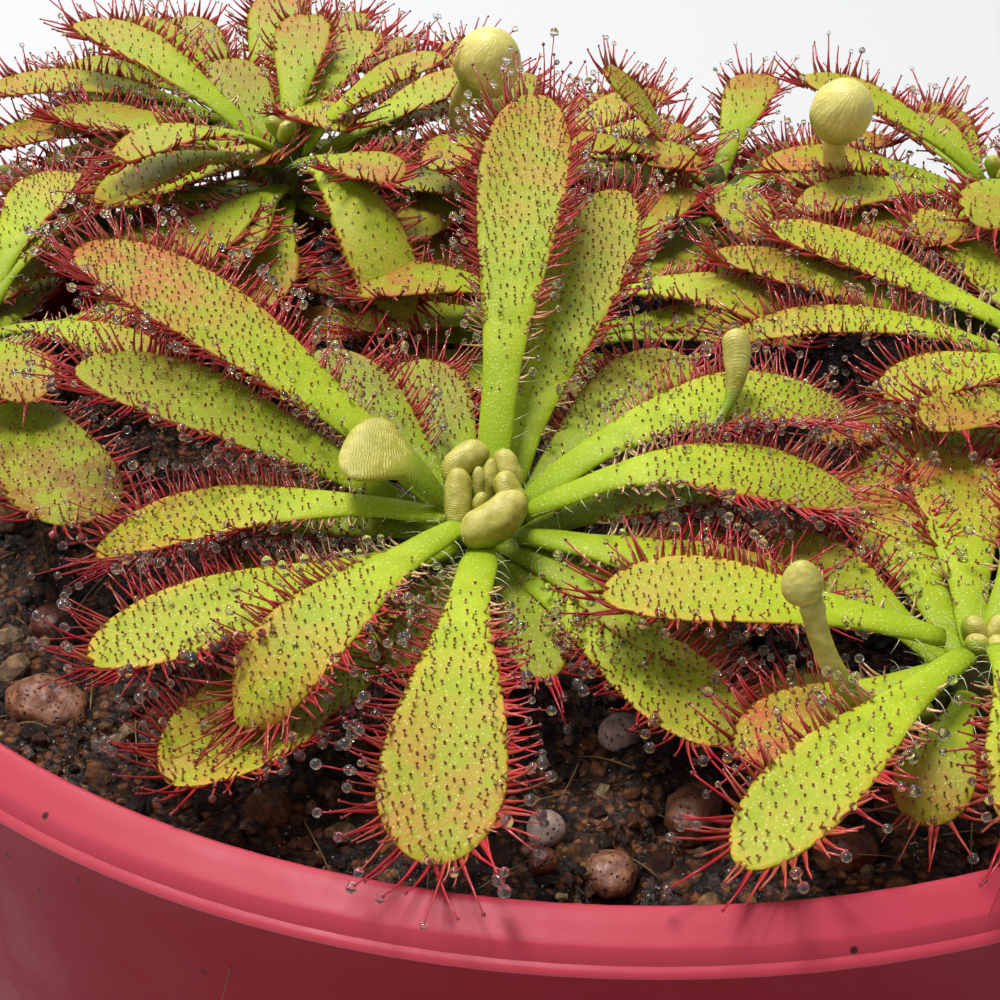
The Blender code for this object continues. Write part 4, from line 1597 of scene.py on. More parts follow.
def level_ring(radius: float, height: float, sides: int) -> Array:
    """A level ring of points about the pot's axis.

    Args:
        radius: Its radius.
        height: Its height.
        sides: How many points.

    Returns:
        The points, in rows.
    """
    angles = circle(sides)
    return np.stack([radius * np.cos(angles), radius * np.sin(angles),
                     np.full(sides, height)], axis=1)


def turned(profile: Sequence[tuple[float, float]], sides: int, name: str,
           finish: Material) -> Piece:
    """Turn a closed profile about the pot's axis.

    Args:
        profile: Radius and height of each corner, from the axis round to the axis.
        sides: Faces round the pot.
        name: The new object's name.
        finish: Its material.

    Returns:
        The new object.
    """
    rows = np.stack([level_ring(radius, height, sides) for radius, height in profile[1:-1]])
    skin = Skin()
    start = skin.add_sheet(rows, {}, closed=True)
    last = start + (len(rows) - 1) * sides
    for ring, corner, first in ((start, profile[0], True), (last, profile[-1], False)):
        skin.add_pole(ring, sides, np.array([corner[0], 0.0, corner[1]]), {}, first)
    made = skin.piece(name, finish)
    made.data.set_sharp_from_angle(angle=math.radians(42.0))
    return made


@dataclass(frozen=True)
class Pot:
    """Round nursery pot: rolled rim with a bead, deep plain collar, stepped lower part."""

    sides: int = 144
    wall: float = 1.5
    floor: float = 2.4
    foot: float = 1.2
    drain_ring: float = 22.0
    drain_radius: float = 1.9
    drains: int = 6

    def rim(self) -> list[tuple[float, float]]:
        """The rim's section from under its bead to inside the mouth."""
        out, top, mouth = RIM_RADIUS, POT_HEIGHT, MOUTH_RADIUS
        return [(out - 1.15, top - 2.3), (out - 1.0, top - 1.78), (out - 0.6, top - 1.66),
                (out - 0.22, top - 1.62), (out - 0.05, top - 1.54), (out, top - 1.42),
                (out - 0.06, top - 1.3), (out - 0.2, top - 1.23), (out - 0.36, top - 1.18),
                (out - 0.42, top - 1.05), (out - 0.64, top - 0.62), (out - 0.76, top - 0.54),
                (out - 0.95, top - 0.46), (out - 1.5, top - 0.22), (mouth + 0.55, top - 0.03),
                (mouth + 0.3, top), (mouth + 0.12, top - 0.08), (mouth + 0.03, top - 0.25),
                (mouth, top - 0.6)]

    def profile(self) -> list[tuple[float, float]]:
        """The pot's section from the middle of its underside, round its rim, to its floor.

        Returns:
            Radius and height of each corner.
        """
        shoulder = POT_HEIGHT - COLLAR_DEPTH
        base = inner_radius(0.0) + self.wall
        under = [(0.0, self.foot), (base - 3.9, self.foot), (base - 3.5, self.foot - 0.15),
                 (base - 3.1, 0.15), (base - 2.9, 0.0), (base - 0.7, 0.0), (base - 0.25, 0.12),
                 (base, 0.5)]
        step = [shoulder - STEP_HEIGHT + STEP_HEIGHT / 10 * part for part in range(11)]
        heights = [5.0, 20.0, 38.0, shoulder - 3.0, *step,
                   shoulder + 0.6, shoulder + 12.0, shoulder + 24.0, POT_HEIGHT - 5.0]
        outside = [(inner_radius(height) + self.wall, height) for height in heights]
        inside = [(inner_radius(height), height) for height in reversed(heights)]
        corner = inner_radius(self.floor)
        return (under + outside + self.rim() + inside
                + [(corner - 0.1, self.floor + 0.8), (corner - 0.8, self.floor), (0.0, self.floor)])

    def build(self, finish: Material) -> None:
        """Turn the pot and cut its drain holes.

        Args:
            finish: The pot's material.
        """
        pot = turned(self.profile(), self.sides, "nursery_pot", finish)
        skin = Skin()
        round_pot = circle(self.drains) + TURN / 2.0 / self.drains
        ring = self.drain_ring * np.stack([np.cos(round_pot), np.sin(round_pot)], axis=1)
        for middle in [(0.0, 0.0), *ring]:
            skin.add_tube(np.stack([
                level_ring(self.drain_radius, height, 24) + (*middle, 0.0)
                for height in (-3.0, 6.0)]), {})
        cutter = skin.piece("drain_cutter", None)
        cut = pot.modifiers.new("drains", "BOOLEAN")
        cut.object = cutter
        cut.solver = "EXACT"
        pot.data = evaluated_mesh(pot)
        pot.modifiers.remove(cut)
        bpy.data.objects.remove(cutter)
        settle(pot, "pot")


@dataclass(frozen=True)
class PeatBed:
    """Wet peat with a rough top, its crumbs, its fibres and the stones bedded in it."""

    rings: int = 96
    sides: int = 180
    gap: float = 0.35
    crumbs: float = 0.84
    fibre: float = 5.0

    def top(self) -> tuple[Array, Array]:
        """The rough top as rings of points, and how open to view each point is.

        Returns:
            The rings by row, and a number from 0.25 to 1 for each row and side.
        """
        edge = inner_radius(POT_HEIGHT - PEAT_DROP) - 0.1
        radii = edge * np.linspace(1.0, 0.0, self.rings + 1)[:-1] ** 0.75
        angles = circle(self.sides)
        x = radii[:, None] * np.cos(angles)
        y = radii[:, None] * np.sin(angles)
        rows = np.stack([x, y, peat_height(x, y)], axis=2)
        flat = rows.reshape(-1, 3) * (1.0, 1.0, 0.2)
        rough = 0.70 * rough_noise(flat, 3.4, 5, 3) + 0.45 * rough_noise(flat, 1.3, 9, 2)
        near_wall = smooth_step((edge - radii) / 1.6)[:, None]
        rows[:, :, 2] += (rough.reshape(x.shape) - 0.15) * (0.35 + 0.65 * near_wall)
        rows[:, :, 2] -= 0.45 * (1.0 - near_wall)
        return rows, smooth_step((4.0 - y) / 22.0) * 0.75 + 0.25

    def build(self, palette: "Palette") -> None:
        """Make the peat, then grow its crumbs and its fibres.

        Args:
            palette: The finishes and the trees.
        """
        rows, open_to_view = self.top()
        skin = Skin()
        start = skin.add_sheet(rows, {}, closed=True)
        last = start + (self.rings - 1) * self.sides
        skin.add_pole(last, self.sides, rows[-1].mean(axis=0), {}, False)
        sides = [level_ring(inner_radius(height) - self.gap - chamfer, height, self.sides)
                 for height, chamfer in ((3.9, 1.2), (5.0, 0.0), (25.0, 0.0), (42.5, 0.0),
                                         (46.0, 0.0), (60.0, 0.0), (74.0, 0.0))]
        below = skin.add_sheet(np.stack(sides), {}, closed=True)
        skin.add_pole(below, self.sides, np.array([0.0, 0.0, 3.0]), {}, True)
        wall = below + (len(sides) - 1) * self.sides
        for side in range(self.sides):
            after = (side + 1) % self.sides
            skin.faces.append([wall + side, wall + after, start + after, start + side])
        settle(skin.piece("wet_peat", palette.peat), "soil")
        bed = Skin()
        random = np.random.default_rng(4)
        swirl = rough_noise(rows.reshape(-1, 3), 3.0, 31) * TURN
        lean = np.stack([np.cos(swirl), np.sin(swirl), 0.10 + 0.2 * random.random(len(swirl))],
                        axis=1).reshape(rows.shape)
        ones = np.ones_like(open_to_view)
        bed.add_sheet(rows, {
            "open": open_to_view, "lean": unit(lean), "reach": self.fibre * MM * ones,
            "bow": np.array([0.0, 0.0, -0.0012]) * np.ones_like(rows), "fringe": ones,
            "girth": ones, "crop": open_to_view, "flush": open_to_view}, closed=True)
        faces = bed.piece("peat_faces", None)
        grow(faces, palette.crumb_tree, "peat_crumbs", "peat", ("tint",), Seed=3,
             Spacing=self.crumbs * MM, Smallest=0.12 * MM, Largest=0.5 * MM,
             Finish=palette.crumb)
        grow(faces, palette.crumb_tree, "bark_clods", "peat", ("tint",), Seed=8,
             Spacing=3.4 * MM, Smallest=0.5 * MM, Largest=1.1 * MM, Fineness=2,
             Finish=palette.crumb)
        grow(faces, palette.growth[Growth.STALKS], "peat_fibres", "peat", ("climb",), Seed=5,
             Fringe_Spacing=3.4 * MM, Blade_Spacing=9.0 * MM, Segments=5,
             Stalk_Radius=0.05 * MM, Sway=0.5, Finish=palette.straw)
        bpy.data.objects.remove(faces)


class CrumbTree(StrewingTree):
    """Geometry Nodes that strew rough crumbs, each with a tint of its own, over faces."""

    INPUTS = {"Spacing": ("Float", None), "Smallest": ("Float", None),
              "Largest": ("Float", None), "Fineness": ("Int", 1), "Seed": ("Int", None),
              "Finish": ("Material", None)}
    MOST = 6.0e6
    DENTS = 1900.0
    DENT_DEPTH = 0.00055

    def __init__(self) -> None:
        """Build the tree."""
        super().__init__("Peat crumbs")
        points = self.strewn("Spacing", "open", self.MOST)
        size = self.chance(1, self.given["Smallest"], self.given["Largest"])
        shape = self.chance(0, (0.7, 0.7, 0.5), (1.25, 1.1, 0.9))
        turn = self.chance(0, (-0.6, -0.6, 0.0), (0.6, 0.6, 6.28))
        crumb = self.made("MeshIcoSphere", {
            "Radius": 1.0, "Subdivisions": self.given["Fineness"]})
        copies = self.made("InstanceOnPoints", {
            "Points": points, "Instance": crumb, "Scale": self.scaled(shape, size),
            "Rotation": self.node("FunctionNodeEulerToRotation", {0: turn}).outputs[0]})
        copies = self.keep(copies, "tint", self.chance(2, 0.0, 1.0), domain="INSTANCE")
        copies = self.made("RealizeInstances", {0: copies})
        dents = self.node("ShaderNodeTexNoise", {
            "Vector": self.made("InputPosition"), "Scale": self.DENTS}).outputs["Color"]
        dents = self.scaled(self.vector("SUBTRACT", dents, (0.5, 0.5, 0.5)), self.DENT_DEPTH)
        self.finish(self.made("SetPosition", {"Geometry": copies, "Offset": dents}))


@dataclass(frozen=True)
class Stone:
    """A stone bedded in the peat, or a loose one if it stands for no solid."""

    name: str
    x: float
    y: float
    size: Point
    turn: float
    finish: str
    node: str = ""
    rough: float = 0.10
    rings: int = 26
    sides: int = 36

    def build(self, palette: "Palette") -> None:
        """Make a lumpy round stone, sunk to its middle in the peat.

        Args:
            palette: The finishes and the trees.
        """
        tilts = np.linspace(0.0, math.pi, self.rings)[1:-1]
        angles = circle(self.sides)
        ball = np.stack([np.sin(tilts)[:, None] * np.cos(angles),
                         np.sin(tilts)[:, None] * np.sin(angles),
                         -np.cos(tilts)[:, None] * np.ones(self.sides)], axis=2)
        flat = ball.reshape(-1, 3)
        seed = int(1000 + self.x * 10)
        swell = 1.0 + self.rough * (rough_noise(flat, 1.1, seed, 3)
                                    + 0.4 * rough_noise(flat, 0.3, seed + 7, 2))
        flat = flat * swell[:, None] * np.array(self.size)
        turn = math.radians(self.turn)
        spin = np.array([[math.cos(turn), -math.sin(turn), 0.0],
                         [math.sin(turn), math.cos(turn), 0.0], [0.0, 0.0, 1.0]])
        height = float(peat_height(self.x, self.y)) + 0.25 * self.size[2]
        rows = (flat @ spin.T + np.array([self.x, self.y, height])).reshape(ball.shape)
        skin = Skin()
        skin.add_tube(rows, {})
        settle(skin.piece(self.name, palette.stones[self.finish]), self.node)


STONES = (
    Stone("pumice_rear", -0.3, -29.4, (1.1, 1.0, 0.95), 20, "pumice", "pumice_grain_rear"),
    Stone("pumice_front", -4.0, -35.6, (0.95, 0.85, 0.8), 70, "pumice", "pumice_grain_front"),
    Stone("porous_clod", -1.3, -38.0, (1.25, 1.1, 0.9), 10, "clod", "brown_clod", 0.22),
    Stone("brown_stone", -29.6, -19.6, (1.5, 1.15, 0.9), 150, "brown_stone", "left_stone", 0.16),
    Stone("amber_grain", -4.2, -38.4, (0.7, 0.6, 0.55), 40, "brown_stone", rough=0.14),
    Stone("amber_grain_small", -4.7, -37.4, (0.42, 0.5, 0.4), 90, "brown_stone", rough=0.14),
    Stone("front_stone", 8.9, -37.2, (1.5, 1.2, 0.9), 20, "brown_stone", rough=0.16),
    Stone("left_clod", -28.2, -27.0, (2.3, 1.6, 1.3), 150, "clod", rough=0.3),
    Stone("right_clod", 2.6, -34.6, (1.7, 1.3, 1.1), 60, "clod", rough=0.3),
)


# ------------------------ young leaves


COILS = (
    Coil("coil_rear_left", "main_coil_1", (-1.0, 1.55, 0.2), (0.85, 0.75, 0.3), 2.5, 0.82,
         (-0.35, 0.25, 0.3)),
    Coil("coil_left", "main_coil_2", (-1.35, -0.35, -0.35), (0.0, 0.75, 0.66), 3.0, 0.70,
         (-0.2, 0.0, 0.1)),
    Coil("coil_front", "main_coil_3", (0.35, -1.7, -0.4), (2.05, 1.0, 1.1), 3.5, 1.02,
         (0.3, -0.45, -0.1), 0.1),
    Coil("coil_right", "main_coil_4", (1.1, 0.0, -0.3), (0.35, -0.7, -0.6), 2.2, 0.70),
    Coil("coil_rear_right", "main_coil_5", (1.0, 1.3, 0.15), (-0.4, 0.65, 0.62), 2.0, 0.66),
    Coil("coil_inner_left", "", (-0.4, 0.6, -0.4), (0.0, 0.5, 0.85), 2.0, 0.38),
    Coil("coil_inner_middle", "", (0.15, 0.75, -0.4), (0.1, 0.5, 0.85), 2.6, 0.46),
    Coil("coil_inner_front", "", (-0.3, -0.6, -0.4), (0.3, 0.3, 0.8), 1.1, 0.38),
)
RING_DROP = 1.8


class ShootKind(Enum):
    """What a shoot's head is like."""

    BALL = "ball"
    HOOD = "hood"
    KNOB = "knob"


@dataclass(frozen=True)
class Shoot:
    """A rolled-up young leaf on its bowed stalk; heights are over the pot's rim.

    Its head_lean is the axis of a ball, or the step from the stalk's end to a knob's middle. Its
    widening is the share of a hood's stalk that stays thin.
    """

    name: str
    node: str
    kind: ShootKind
    foot: Point
    bow: Point
    head: Point
    stalk_radius: float
    head_radius: float
    head_lean: Point = (0.0, 0.0, 0.0)
    widening: float = 0.7
    hair: float = 0.0
    sides: int = 28

    def line(self, shares: Array) -> Array:
        """Points along the stalk and into the head.

        Args:
            shares: Shares of its length, 0 at its foot and 1 at its head's.

        Returns:
            The points, in rows.
        """
        foot, bow, head = (np.array(point) + (0.0, 0.0, POT_HEIGHT)
                           for point in (self.foot, self.bow, self.head))
        share = shares[:, None]
        return (1 - share) ** 2 * foot + 2 * share * (1 - share) * bow + share ** 2 * head

    def build(self, palette: "Palette") -> None:
        """Make the stalk and the head as one piece, with hairs if the head is hairy.

        Args:
            palette: The finishes and the trees.
        """
        skin = Skin()
        {ShootKind.BALL: self.ball, ShootKind.HOOD: self.hood,
         ShootKind.KNOB: self.knob}[self.kind](skin)
        finish = palette.bud if self.kind is ShootKind.BALL else palette.young
        piece = settle(skin.piece(self.name, finish), self.node)
        if self.hair:
            bed = skin_of_hairs(piece, self.hair)
            grow(bed, palette.growth[Growth.STALKS], self.name + "_hairs", "young_leaf",
                 ("climb",), Seed=9, Blade_Spacing=0.16 * MM, Fringe_Spacing=0.16 * MM,
                 Segments=2, Stalk_Radius=0.016 * MM, Sway=0.7, Finish=palette.hair)
            bpy.data.objects.remove(bed)

    def sweep(self, skin: Skin, line: Array, radii: Array, flat: float,
              along: Array, ribbed: float) -> None:
        """Add a tube with ribs across it.

        Args:
            skin: The surface that it is added to.
            line: Its middle.
            radii: Its radius at each point of the line, towards the sides.
            flat: Its thickness front to back over its width.
            along: How far from the green foot each point is, 0 to 1.
            ribbed: Ribs in a millimetre.
        """
        rings = tube_rings(line, radii, self.sides, flat, (0.0, 1.0, 0.0))
        lengths = np.concatenate([[0.0], np.cumsum(np.linalg.norm(np.diff(line, axis=0), axis=1))])
        angles = circle(self.sides)
        ribs = TURN * ribbed * (lengths[:, None] + 0.16 * np.cos(angles * 2)[None, :])
        skin.add_tube(rings, {"ribs": ribs, "along": along[:, None] * np.ones(self.sides)})

    def hood(self, skin: Skin) -> None:
        """A thin stalk that turns up and widens into a ribbed hood with a round top.

        Args:
            skin: The surface that it is added to.
        """
        shares = np.sin(np.linspace(0.0, math.pi / 2.0, 70))
        line = self.line(shares)
        wide = self.stalk_radius + (self.head_radius - self.stalk_radius) * smooth_step(
            (shares - self.widening) / (0.93 - self.widening))
        top = np.clip((shares - 0.93) / 0.07, 0.0, 1.0)
        radii = np.maximum(wide * np.sqrt(1.0 - top ** 2.2), 0.02)
        along = 0.1 + 0.9 * smooth_step((shares - 0.5) / 0.35)
        self.sweep(skin, line, radii, 0.8, along, 5.5)

    def knob(self, skin: Skin) -> None:
        """A round stalk, green at its foot, under a short blunt head bent to the front.

        Args:
            skin: The surface that it is added to.
        """
        shares = np.linspace(0.0, 1.0, 44)
        collar = 0.09 * np.exp(-((shares - 0.95) / 0.02) ** 2)
        radii = self.stalk_radius * (1.2 - 0.2 * smooth_step(shares / 0.5)) + collar
        self.sweep(skin, self.line(shares), radii, 0.9,
                   0.05 + 0.9 * smooth_step((shares - 0.45) / 0.25), 0.8)
        turns = np.linspace(0.0, math.pi, 30)
        lift = -np.cos(turns)[:, None] * 1.16 * self.head_radius
        end = self.line(np.array([1.0]))[0] + np.array(self.head_lean)
        line = end + lift * unit(np.array((-0.1, 0.2, 1.0)))
        head = self.head_radius * np.maximum(np.sin(turns), 0.02) * (1.0 + 0.12 * np.cos(turns))
        self.sweep(skin, line, head, 0.75, np.ones(len(turns)), 3.0)

    def ball(self, skin: Skin) -> None:
        """A stalk under a round head, folded like a bud, with grooves that wind a little.

        Args:
            skin: The surface that it is added to.
        """
        radius = self.head_radius
        shares = np.linspace(0.0, 1.0, 60)
        line = self.line(shares)
        end = line[-1]
        lengths = np.linalg.norm(line - end, axis=1)
        keep = lengths > 0.8 * radius
        stalk = line[keep]
        thin = self.stalk_radius * (1.35 - 0.35 * smooth_step(shares[keep] / 0.6))
        self.sweep(skin, stalk, thin, 0.8, 0.55 * np.ones(len(stalk)), 0.3)
        axis = unit(np.array(self.head_lean))
        side = unit(np.cross(axis, np.array([0.0, 1.0, 0.0])))
        other = np.cross(axis, side)
        tilts = np.linspace(0.0, math.pi, 48)[1:-1]
        angles = circle(64)
        wound = angles[None, :] + 0.25 * np.cos(tilts)[:, None]
        groove = 1.0 + 0.012 * np.sin(9.0 * wound) * np.sin(tilts)[:, None] \
            - 0.06 * np.exp(-(np.sin(0.5 * (wound - 3.6)) / 0.05) ** 2) * np.sin(tilts)[:, None]
        spread = radius * groove * np.sin(tilts)[:, None]
        lift = -radius * 1.10 * np.cos(tilts)[:, None] * np.ones_like(spread)
        rows = end + spread[:, :, None] * (np.cos(angles)[None, :, None] * side
                                           + np.sin(angles)[None, :, None] * other) \
            + lift[:, :, None] * axis
        # Along grows from the head's bottom to its top: its greener bottom is partly the bud's own
        # green and partly painted shade.
        skin.add_tube(rows, {"ribs": 34.0 * wound, "along": 0.22 + 0.78 * smooth_step(
            (1.0 - np.cos(tilts)) / 2.0)[:, None] * np.ones_like(spread)})


def skin_of_hairs(piece: Piece, reach: float) -> Piece:
    """A copy of a piece whose points say how hairs stand out from it, reach millimetres long.

    Args:
        piece: The piece.
        reach: How long the hairs are, in millimetres.

    Returns:
        The copy.
    """
    mesh = piece.data.copy()
    count = len(mesh.vertices)
    normals = np.zeros(count * 3, np.float32)
    mesh.vertex_normals.foreach_get("vector", normals)
    values = {"lean": normals, "bow": normals * 0.0, "reach": np.full(count, reach * MM),
              "fringe": np.ones(count), "girth": np.ones(count), "crop": np.full(count, 0.8),
              "flush": np.zeros(count)}
    for title, data in values.items():
        keep_value(mesh, title, data)
    return link("hair_faces", mesh)


SHOOTS = (
    Shoot("fuzzy_crozier", "front_right_crozier", ShootKind.KNOB, (12.6, -33.6, 0.4),
          (7.9, -35.6, 1.4), (6.95, -33.5, 6.5), 0.48, 0.88, (-0.45, -0.1, 0.75), hair=0.3),
    Shoot("smooth_crozier", "inner_crozier", ShootKind.HOOD, (1.6, -20.3, 5.6),
          (6.6, -18.2, 5.9), (5.75, -15.3, 10.3), 0.27, 0.72, widening=0.5),
    Shoot("rear_ball_bud", "rear_bud", ShootKind.BALL, (-6.9, 24.4, 4.8),
          (-11.0, 23.4, 9.0), (-6.9, 22.2, 13.0), 0.75, 2.3, (0.3, -0.3, 1.0)),
    Shoot("right_ball_bud", "far_right_bud", ShootKind.BALL, (25.8, 15.8, 5.0),
          (15.2, 16.6, 2.6), (16.1, 13.2, 12.4), 0.75, 2.0, (0.3, -0.3, 1.0)),
)


# ------------------------ palette and tables


class Palette:
    """Every finish and every Geometry Nodes tree, made once."""

    def __init__(self) -> None:
        """Make them."""
        self.leaf = LeafFinish().material()
        self.young = YoungFinish().material()
        self.bud = YoungFinish("sundew_bud", (1.0, 0.88, 0.32), (0.74, 0.66, 0.16),
                               (0.30, 0.36, 0.03)).material()
        self.stalk = StalkFinish().material()
        self.gland = GlandFinish().material()
        self.dew = DewFinish().material()
        self.hair = HairFinish().material()
        self.stem = StemFinish().material()
        self.pot = PotFinish().material()
        self.peat = PeatFinish().material()
        self.crumb = CrumbFinish().material()
        self.straw = StrawFinish().material()
        self.stones = {
            "pumice": StoneFinish("pale_pumice", (0.40, 0.27, 0.21), (0.10, 0.04, 0.03),
                                  (0.58, 0.46, 0.38)).material(),
            "clod": StoneFinish("porous_clod", (0.17, 0.060, 0.030), (0.018, 0.009, 0.006),
                                (0.34, 0.15, 0.075), 0.4).material(),
            "brown_stone": StoneFinish("amber_stone", (0.10, 0.018, 0.009), (0.03, 0.009, 0.005),
                                       (0.20, 0.062, 0.028), 0.35).material()}
        self.growth = {growth: TentacleTree(growth).tree for growth in Growth}
        self.crumb_tree = CrumbTree().tree


MAIN_LEAVES = (
    Leaf("front", 265, 20.5, 5.2, 15, 13, 4.2, blush=0.55, sink=1.7, form=SPOON),
    Leaf("front_left_curled", 230, 15.5, 4.4, 12, 38, 3.4, bend=1.8, blush=0.45, roll=1.0),
    Leaf("front_left_broad", 229, 18.8, 5.8, -4, -10, 0.4, blush=0.45, cup=0.3),
    Leaf("left_narrow", 184, 18, 3.8, 21, 28, 2.6, blush=0.45, roll=0.3),
    Leaf("left_low", 210, 18.6, 4.6, 13, 2, 1.4, blush=0.12),
    Leaf("unfolding", 168, 5.6, 4.9, 30, 0, 4.4, sink=1.5, form=UNFOLDING),
    Leaf("rear_left_long", 146, 26, 5, 33, 0, 1.6, blush=0.9),
    Leaf("rear", 84, 26, 5, 36, -6, 3, blush=0.6),
    Leaf("rear_right", 71, 22.5, 4.8, 27, -8, 1.4, blush=0.35),
    Leaf("right_broad", 27, 21.5, 5, 36, 40, 2.4, blush=0.08, cup=-0.12),
    Leaf("right_long", 4, 17.5, 4.4, 27, 34, 3.6, blush=0.15, cup=-0.08, sink=0.8),
    Leaf("right_lower", 338, 15, 4.2, 12, 10, 2, blush=0.2),
    Leaf("front_right", 309, 15.5, 4.6, 8, 3, 0.8, blush=0.2),
    Leaf("under_left", 161, 21.5, 4.6, 34, 0, 0.4, blush=0.25, shade=0.35),
    *unders((356, 12.5, 4.2, 10, 6, 0, 0.3, 0.4), (106, 15, 4.6, 12, 8, 0.4, 0.5, 0.45)))
MAIN_UNDERGROWTH = unders(
    (50, 16, 4.6, 24, 6, 0.8, 0.3, 0.4), (128, 15, 4.4, 22, 0, 0.8, 0.3, 0.5),
    (172, 14, 4.2, 12, 4, 0.8, 0.3, 0.45), (196, 14, 4.2, 6, 4, 0.4, 0.3, 0.45),
    (247, 9, 3.4, 2, 4, 1.2, 0.2, 0.45), (288, 8.5, 3.0, 0, 4, 1.0, 0.2, 0.45),
    (322, 13, 4.2, 4, 4, 1.4, 0.3, 0.4), (20, 15, 4.4, 14, 8, 0.6, 0.3, 0.45))
REAR_LEFT_UNDERGROWTH = unders(
    (196, 18, 4.8, 10, 2, 0.2, 0.8, 0.1), (214, 17, 4.8, 2, 2, -0.6, 0.8, 0.15),
    (238, 16, 4.8, -2, 6, -0.4, 0.7, 0.15), (268, 15, 4.6, 4, 8, 0.0, 0.8, 0.1),
    (322, 15, 4.6, 2, 8, -0.4, 0.8, 0.1), (345, 14, 4.6, 6, 8, -0.2, 0.7, 0.1))
FAR_LEFT_UNDERGROWTH = unders(
    (196, 20, 4.8, 42, 12, 2.0, 0.6, 0.0), (212, 20, 4.8, 32, 10, 1.6, 0.8, 0.0),
    (228, 17, 4.6, 20, 8, 1.0, 0.8, 0.1))
REAR_UNDERGROWTH = unders(
    (214, 14, 4.4, 8, 8, 0.0, 0.8, 0.1), (266, 15, 4.4, 2, 8, -0.6, 0.8, 0.1),
    (316, 14, 4.4, 6, 8, 0.0, 0.8, 0.1))
REAR_RIGHT_UNDERGROWTH = unders(
    (226, 15, 4.4, 6, 8, 0.2, 0.8, 0.1), (276, 15, 4.4, 4, 8, 0.4, 0.9, 0.0),
    (322, 14, 4.4, 30, 10, 1.4, 0.9, 0.0), (20, 14, 4.4, 34, 10, 1.8, 0.9, 0.0))
FAR_RIGHT_UNDERGROWTH = unders(
    (176, 16, 4.4, 30, 14, 2.4, 0.9, 0.0), (215, 16, 4.4, 22, 12, 1.8, 0.8, 0.0))
MIDDLE_UNDERGROWTH = unders(
    (142, 17, 4.8, 20, 6, 1.8, 0.6, 0.1), (158, 18, 4.8, 12, 8, 0.8, 0.8, 0.1),
    (173, 19, 4.8, 8, 6, 0.2, 0.9, 0.1), (192, 15, 4.6, 4, 8, 0.0, 0.8, 0.15))
RIGHT_UNDERGROWTH = unders(
    (214, 19, 4.8, 14, 24, 1.2, 0.7, 0.0), (188, 15, 4.4, 4, 10, 0.4, 0.9, 0.1),
    (208, 14, 4.4, -2, 12, 0.0, 0.9, 0.2), (240, 12, 4.4, 4, 14, 0.6, 1.0, 0.1))
FRONT_RIGHT_LEAVES = (
    Leaf("front_long", 226, 16.3, 3.8, 12, 14, 3.2, blush=0.15),
    Leaf("over_main", 172, 15.4, 4.6, 17, 10, 2.8, blush=0.3),
    Leaf("outer", 266, 11, 4, 21, 32, 4, blush=0.3),
    Leaf("short_front", 242, 7.4, 3.4, 14, 36, 1, blush=0.6, shade=0.1),
    Leaf("red", 206, 11, 4, 3, 8, 2, blush=1.0),
    Leaf("short_left", 190, 9.4, 4, 9, 22, 0.4, blush=0.5, shade=0.15),
    *unders((20, 14, 4.2, 16, 12, 1), (320, 13, 4.2, 11, 8, 1.8),
            (60, 14, 4.2, 20, 10, 2.2, 0.3, 0.1), (130, 12, 4, 19, 8, 0, 0.4, 0.2),
            (82, 17, 4.6, 8, 6, 1.0, 0.9, 0.1), (102, 15, 4.4, 12, 6, 0.4, 0.9, 0.15)))
RIGHT_LEAVES = (
    Leaf("rear_long", 146, 19.6, 4.2, 18, 0, 3, blush=0.3),
    Leaf("front", 201, 12.6, 4, 18, 12, 3.6, blush=0.3),
    Leaf("arching", 172, 20, 3.4, 32, 24, 1.8, blush=0.4, roll=0.4),
    Leaf("low_front", 224, 14.5, 4.4, 12, 30, 1.2, blush=0.55),
    Leaf("rear_right", 114, 16, 3.8, 18, -6, 1.8, blush=0.4),
    Leaf("low_long", 155, 22, 4.2, 26, 2, 0.6, blush=0.55, shade=0.1),
    *unders((300, 14, 4.2, 8, 12, 0.6, 0.7), (10, 14, 4.2, 14, 10, 1.6),
            (60, 14, 4.2, 16, 10, 0.4), (340, 14, 4.2, 24, 10, 2.8),
            (262, 13, 4.2, 14, 12, 2, 0.7)))
REAR_LEFT_LEAVES = (
    Leaf("forward", 299, 19, 4.8, 32, 60, 3, blush=0.2, cup=-0.15),
    Leaf("rear_right", 32, 16, 4.4, 26, 0, 2, blush=0.5),
    Leaf("rear_left", 145, 19, 4.6, 34, 0, 3, blush=0.4),
    Leaf("rear", 72, 15, 4.4, 30, 4, 3, blush=0.5),
    *unders((170, 17, 4.6, 26, 4, 1.6), (250, 15, 4.6, 18, 12, 1), (115, 14, 4.6, 32, -6, 0.6),
            (345, 15, 4.6, 20, 10, 0.6), (225, 15, 4.4, 34, 20, 2.6, 0.5, 0.1),
            (10, 12.9, 4.4, 60, -5, 2.6, 0.6, 0.1)))
FAR_LEFT_LEAVES = unders(
    (180, 14, 4.6, 34, 4, 1), (120, 15, 4.6, 34, 0, 2), (60, 15, 4.6, 30, 0, 2.8),
    (20, 14, 4.6, 28, 4, 1), (150, 13, 4.4, 50, 4, 3.4, 0.5, 0.0),
    (215, 13, 4.4, 43, 16, 2.2, 0.6, 0.0))
LEFT_LEAVES = (
    Leaf("front", 298, 23, 6.2, 3, 6, 1.4, blush=0.9, shade=0.5, cup=-0.1),
    Leaf("rear", 80, 15, 4.4, 42, 4, 3.8, blush=0.4),
    *unders((335, 13, 4.4, 24, 26, 2.6, 0.5, 0.1), (90, 16, 4.4, 14, 10, 0.6),
            (250, 14, 4.4, 10, 16, 0.6), (20, 14, 4.4, 20, 16, 1.4)))
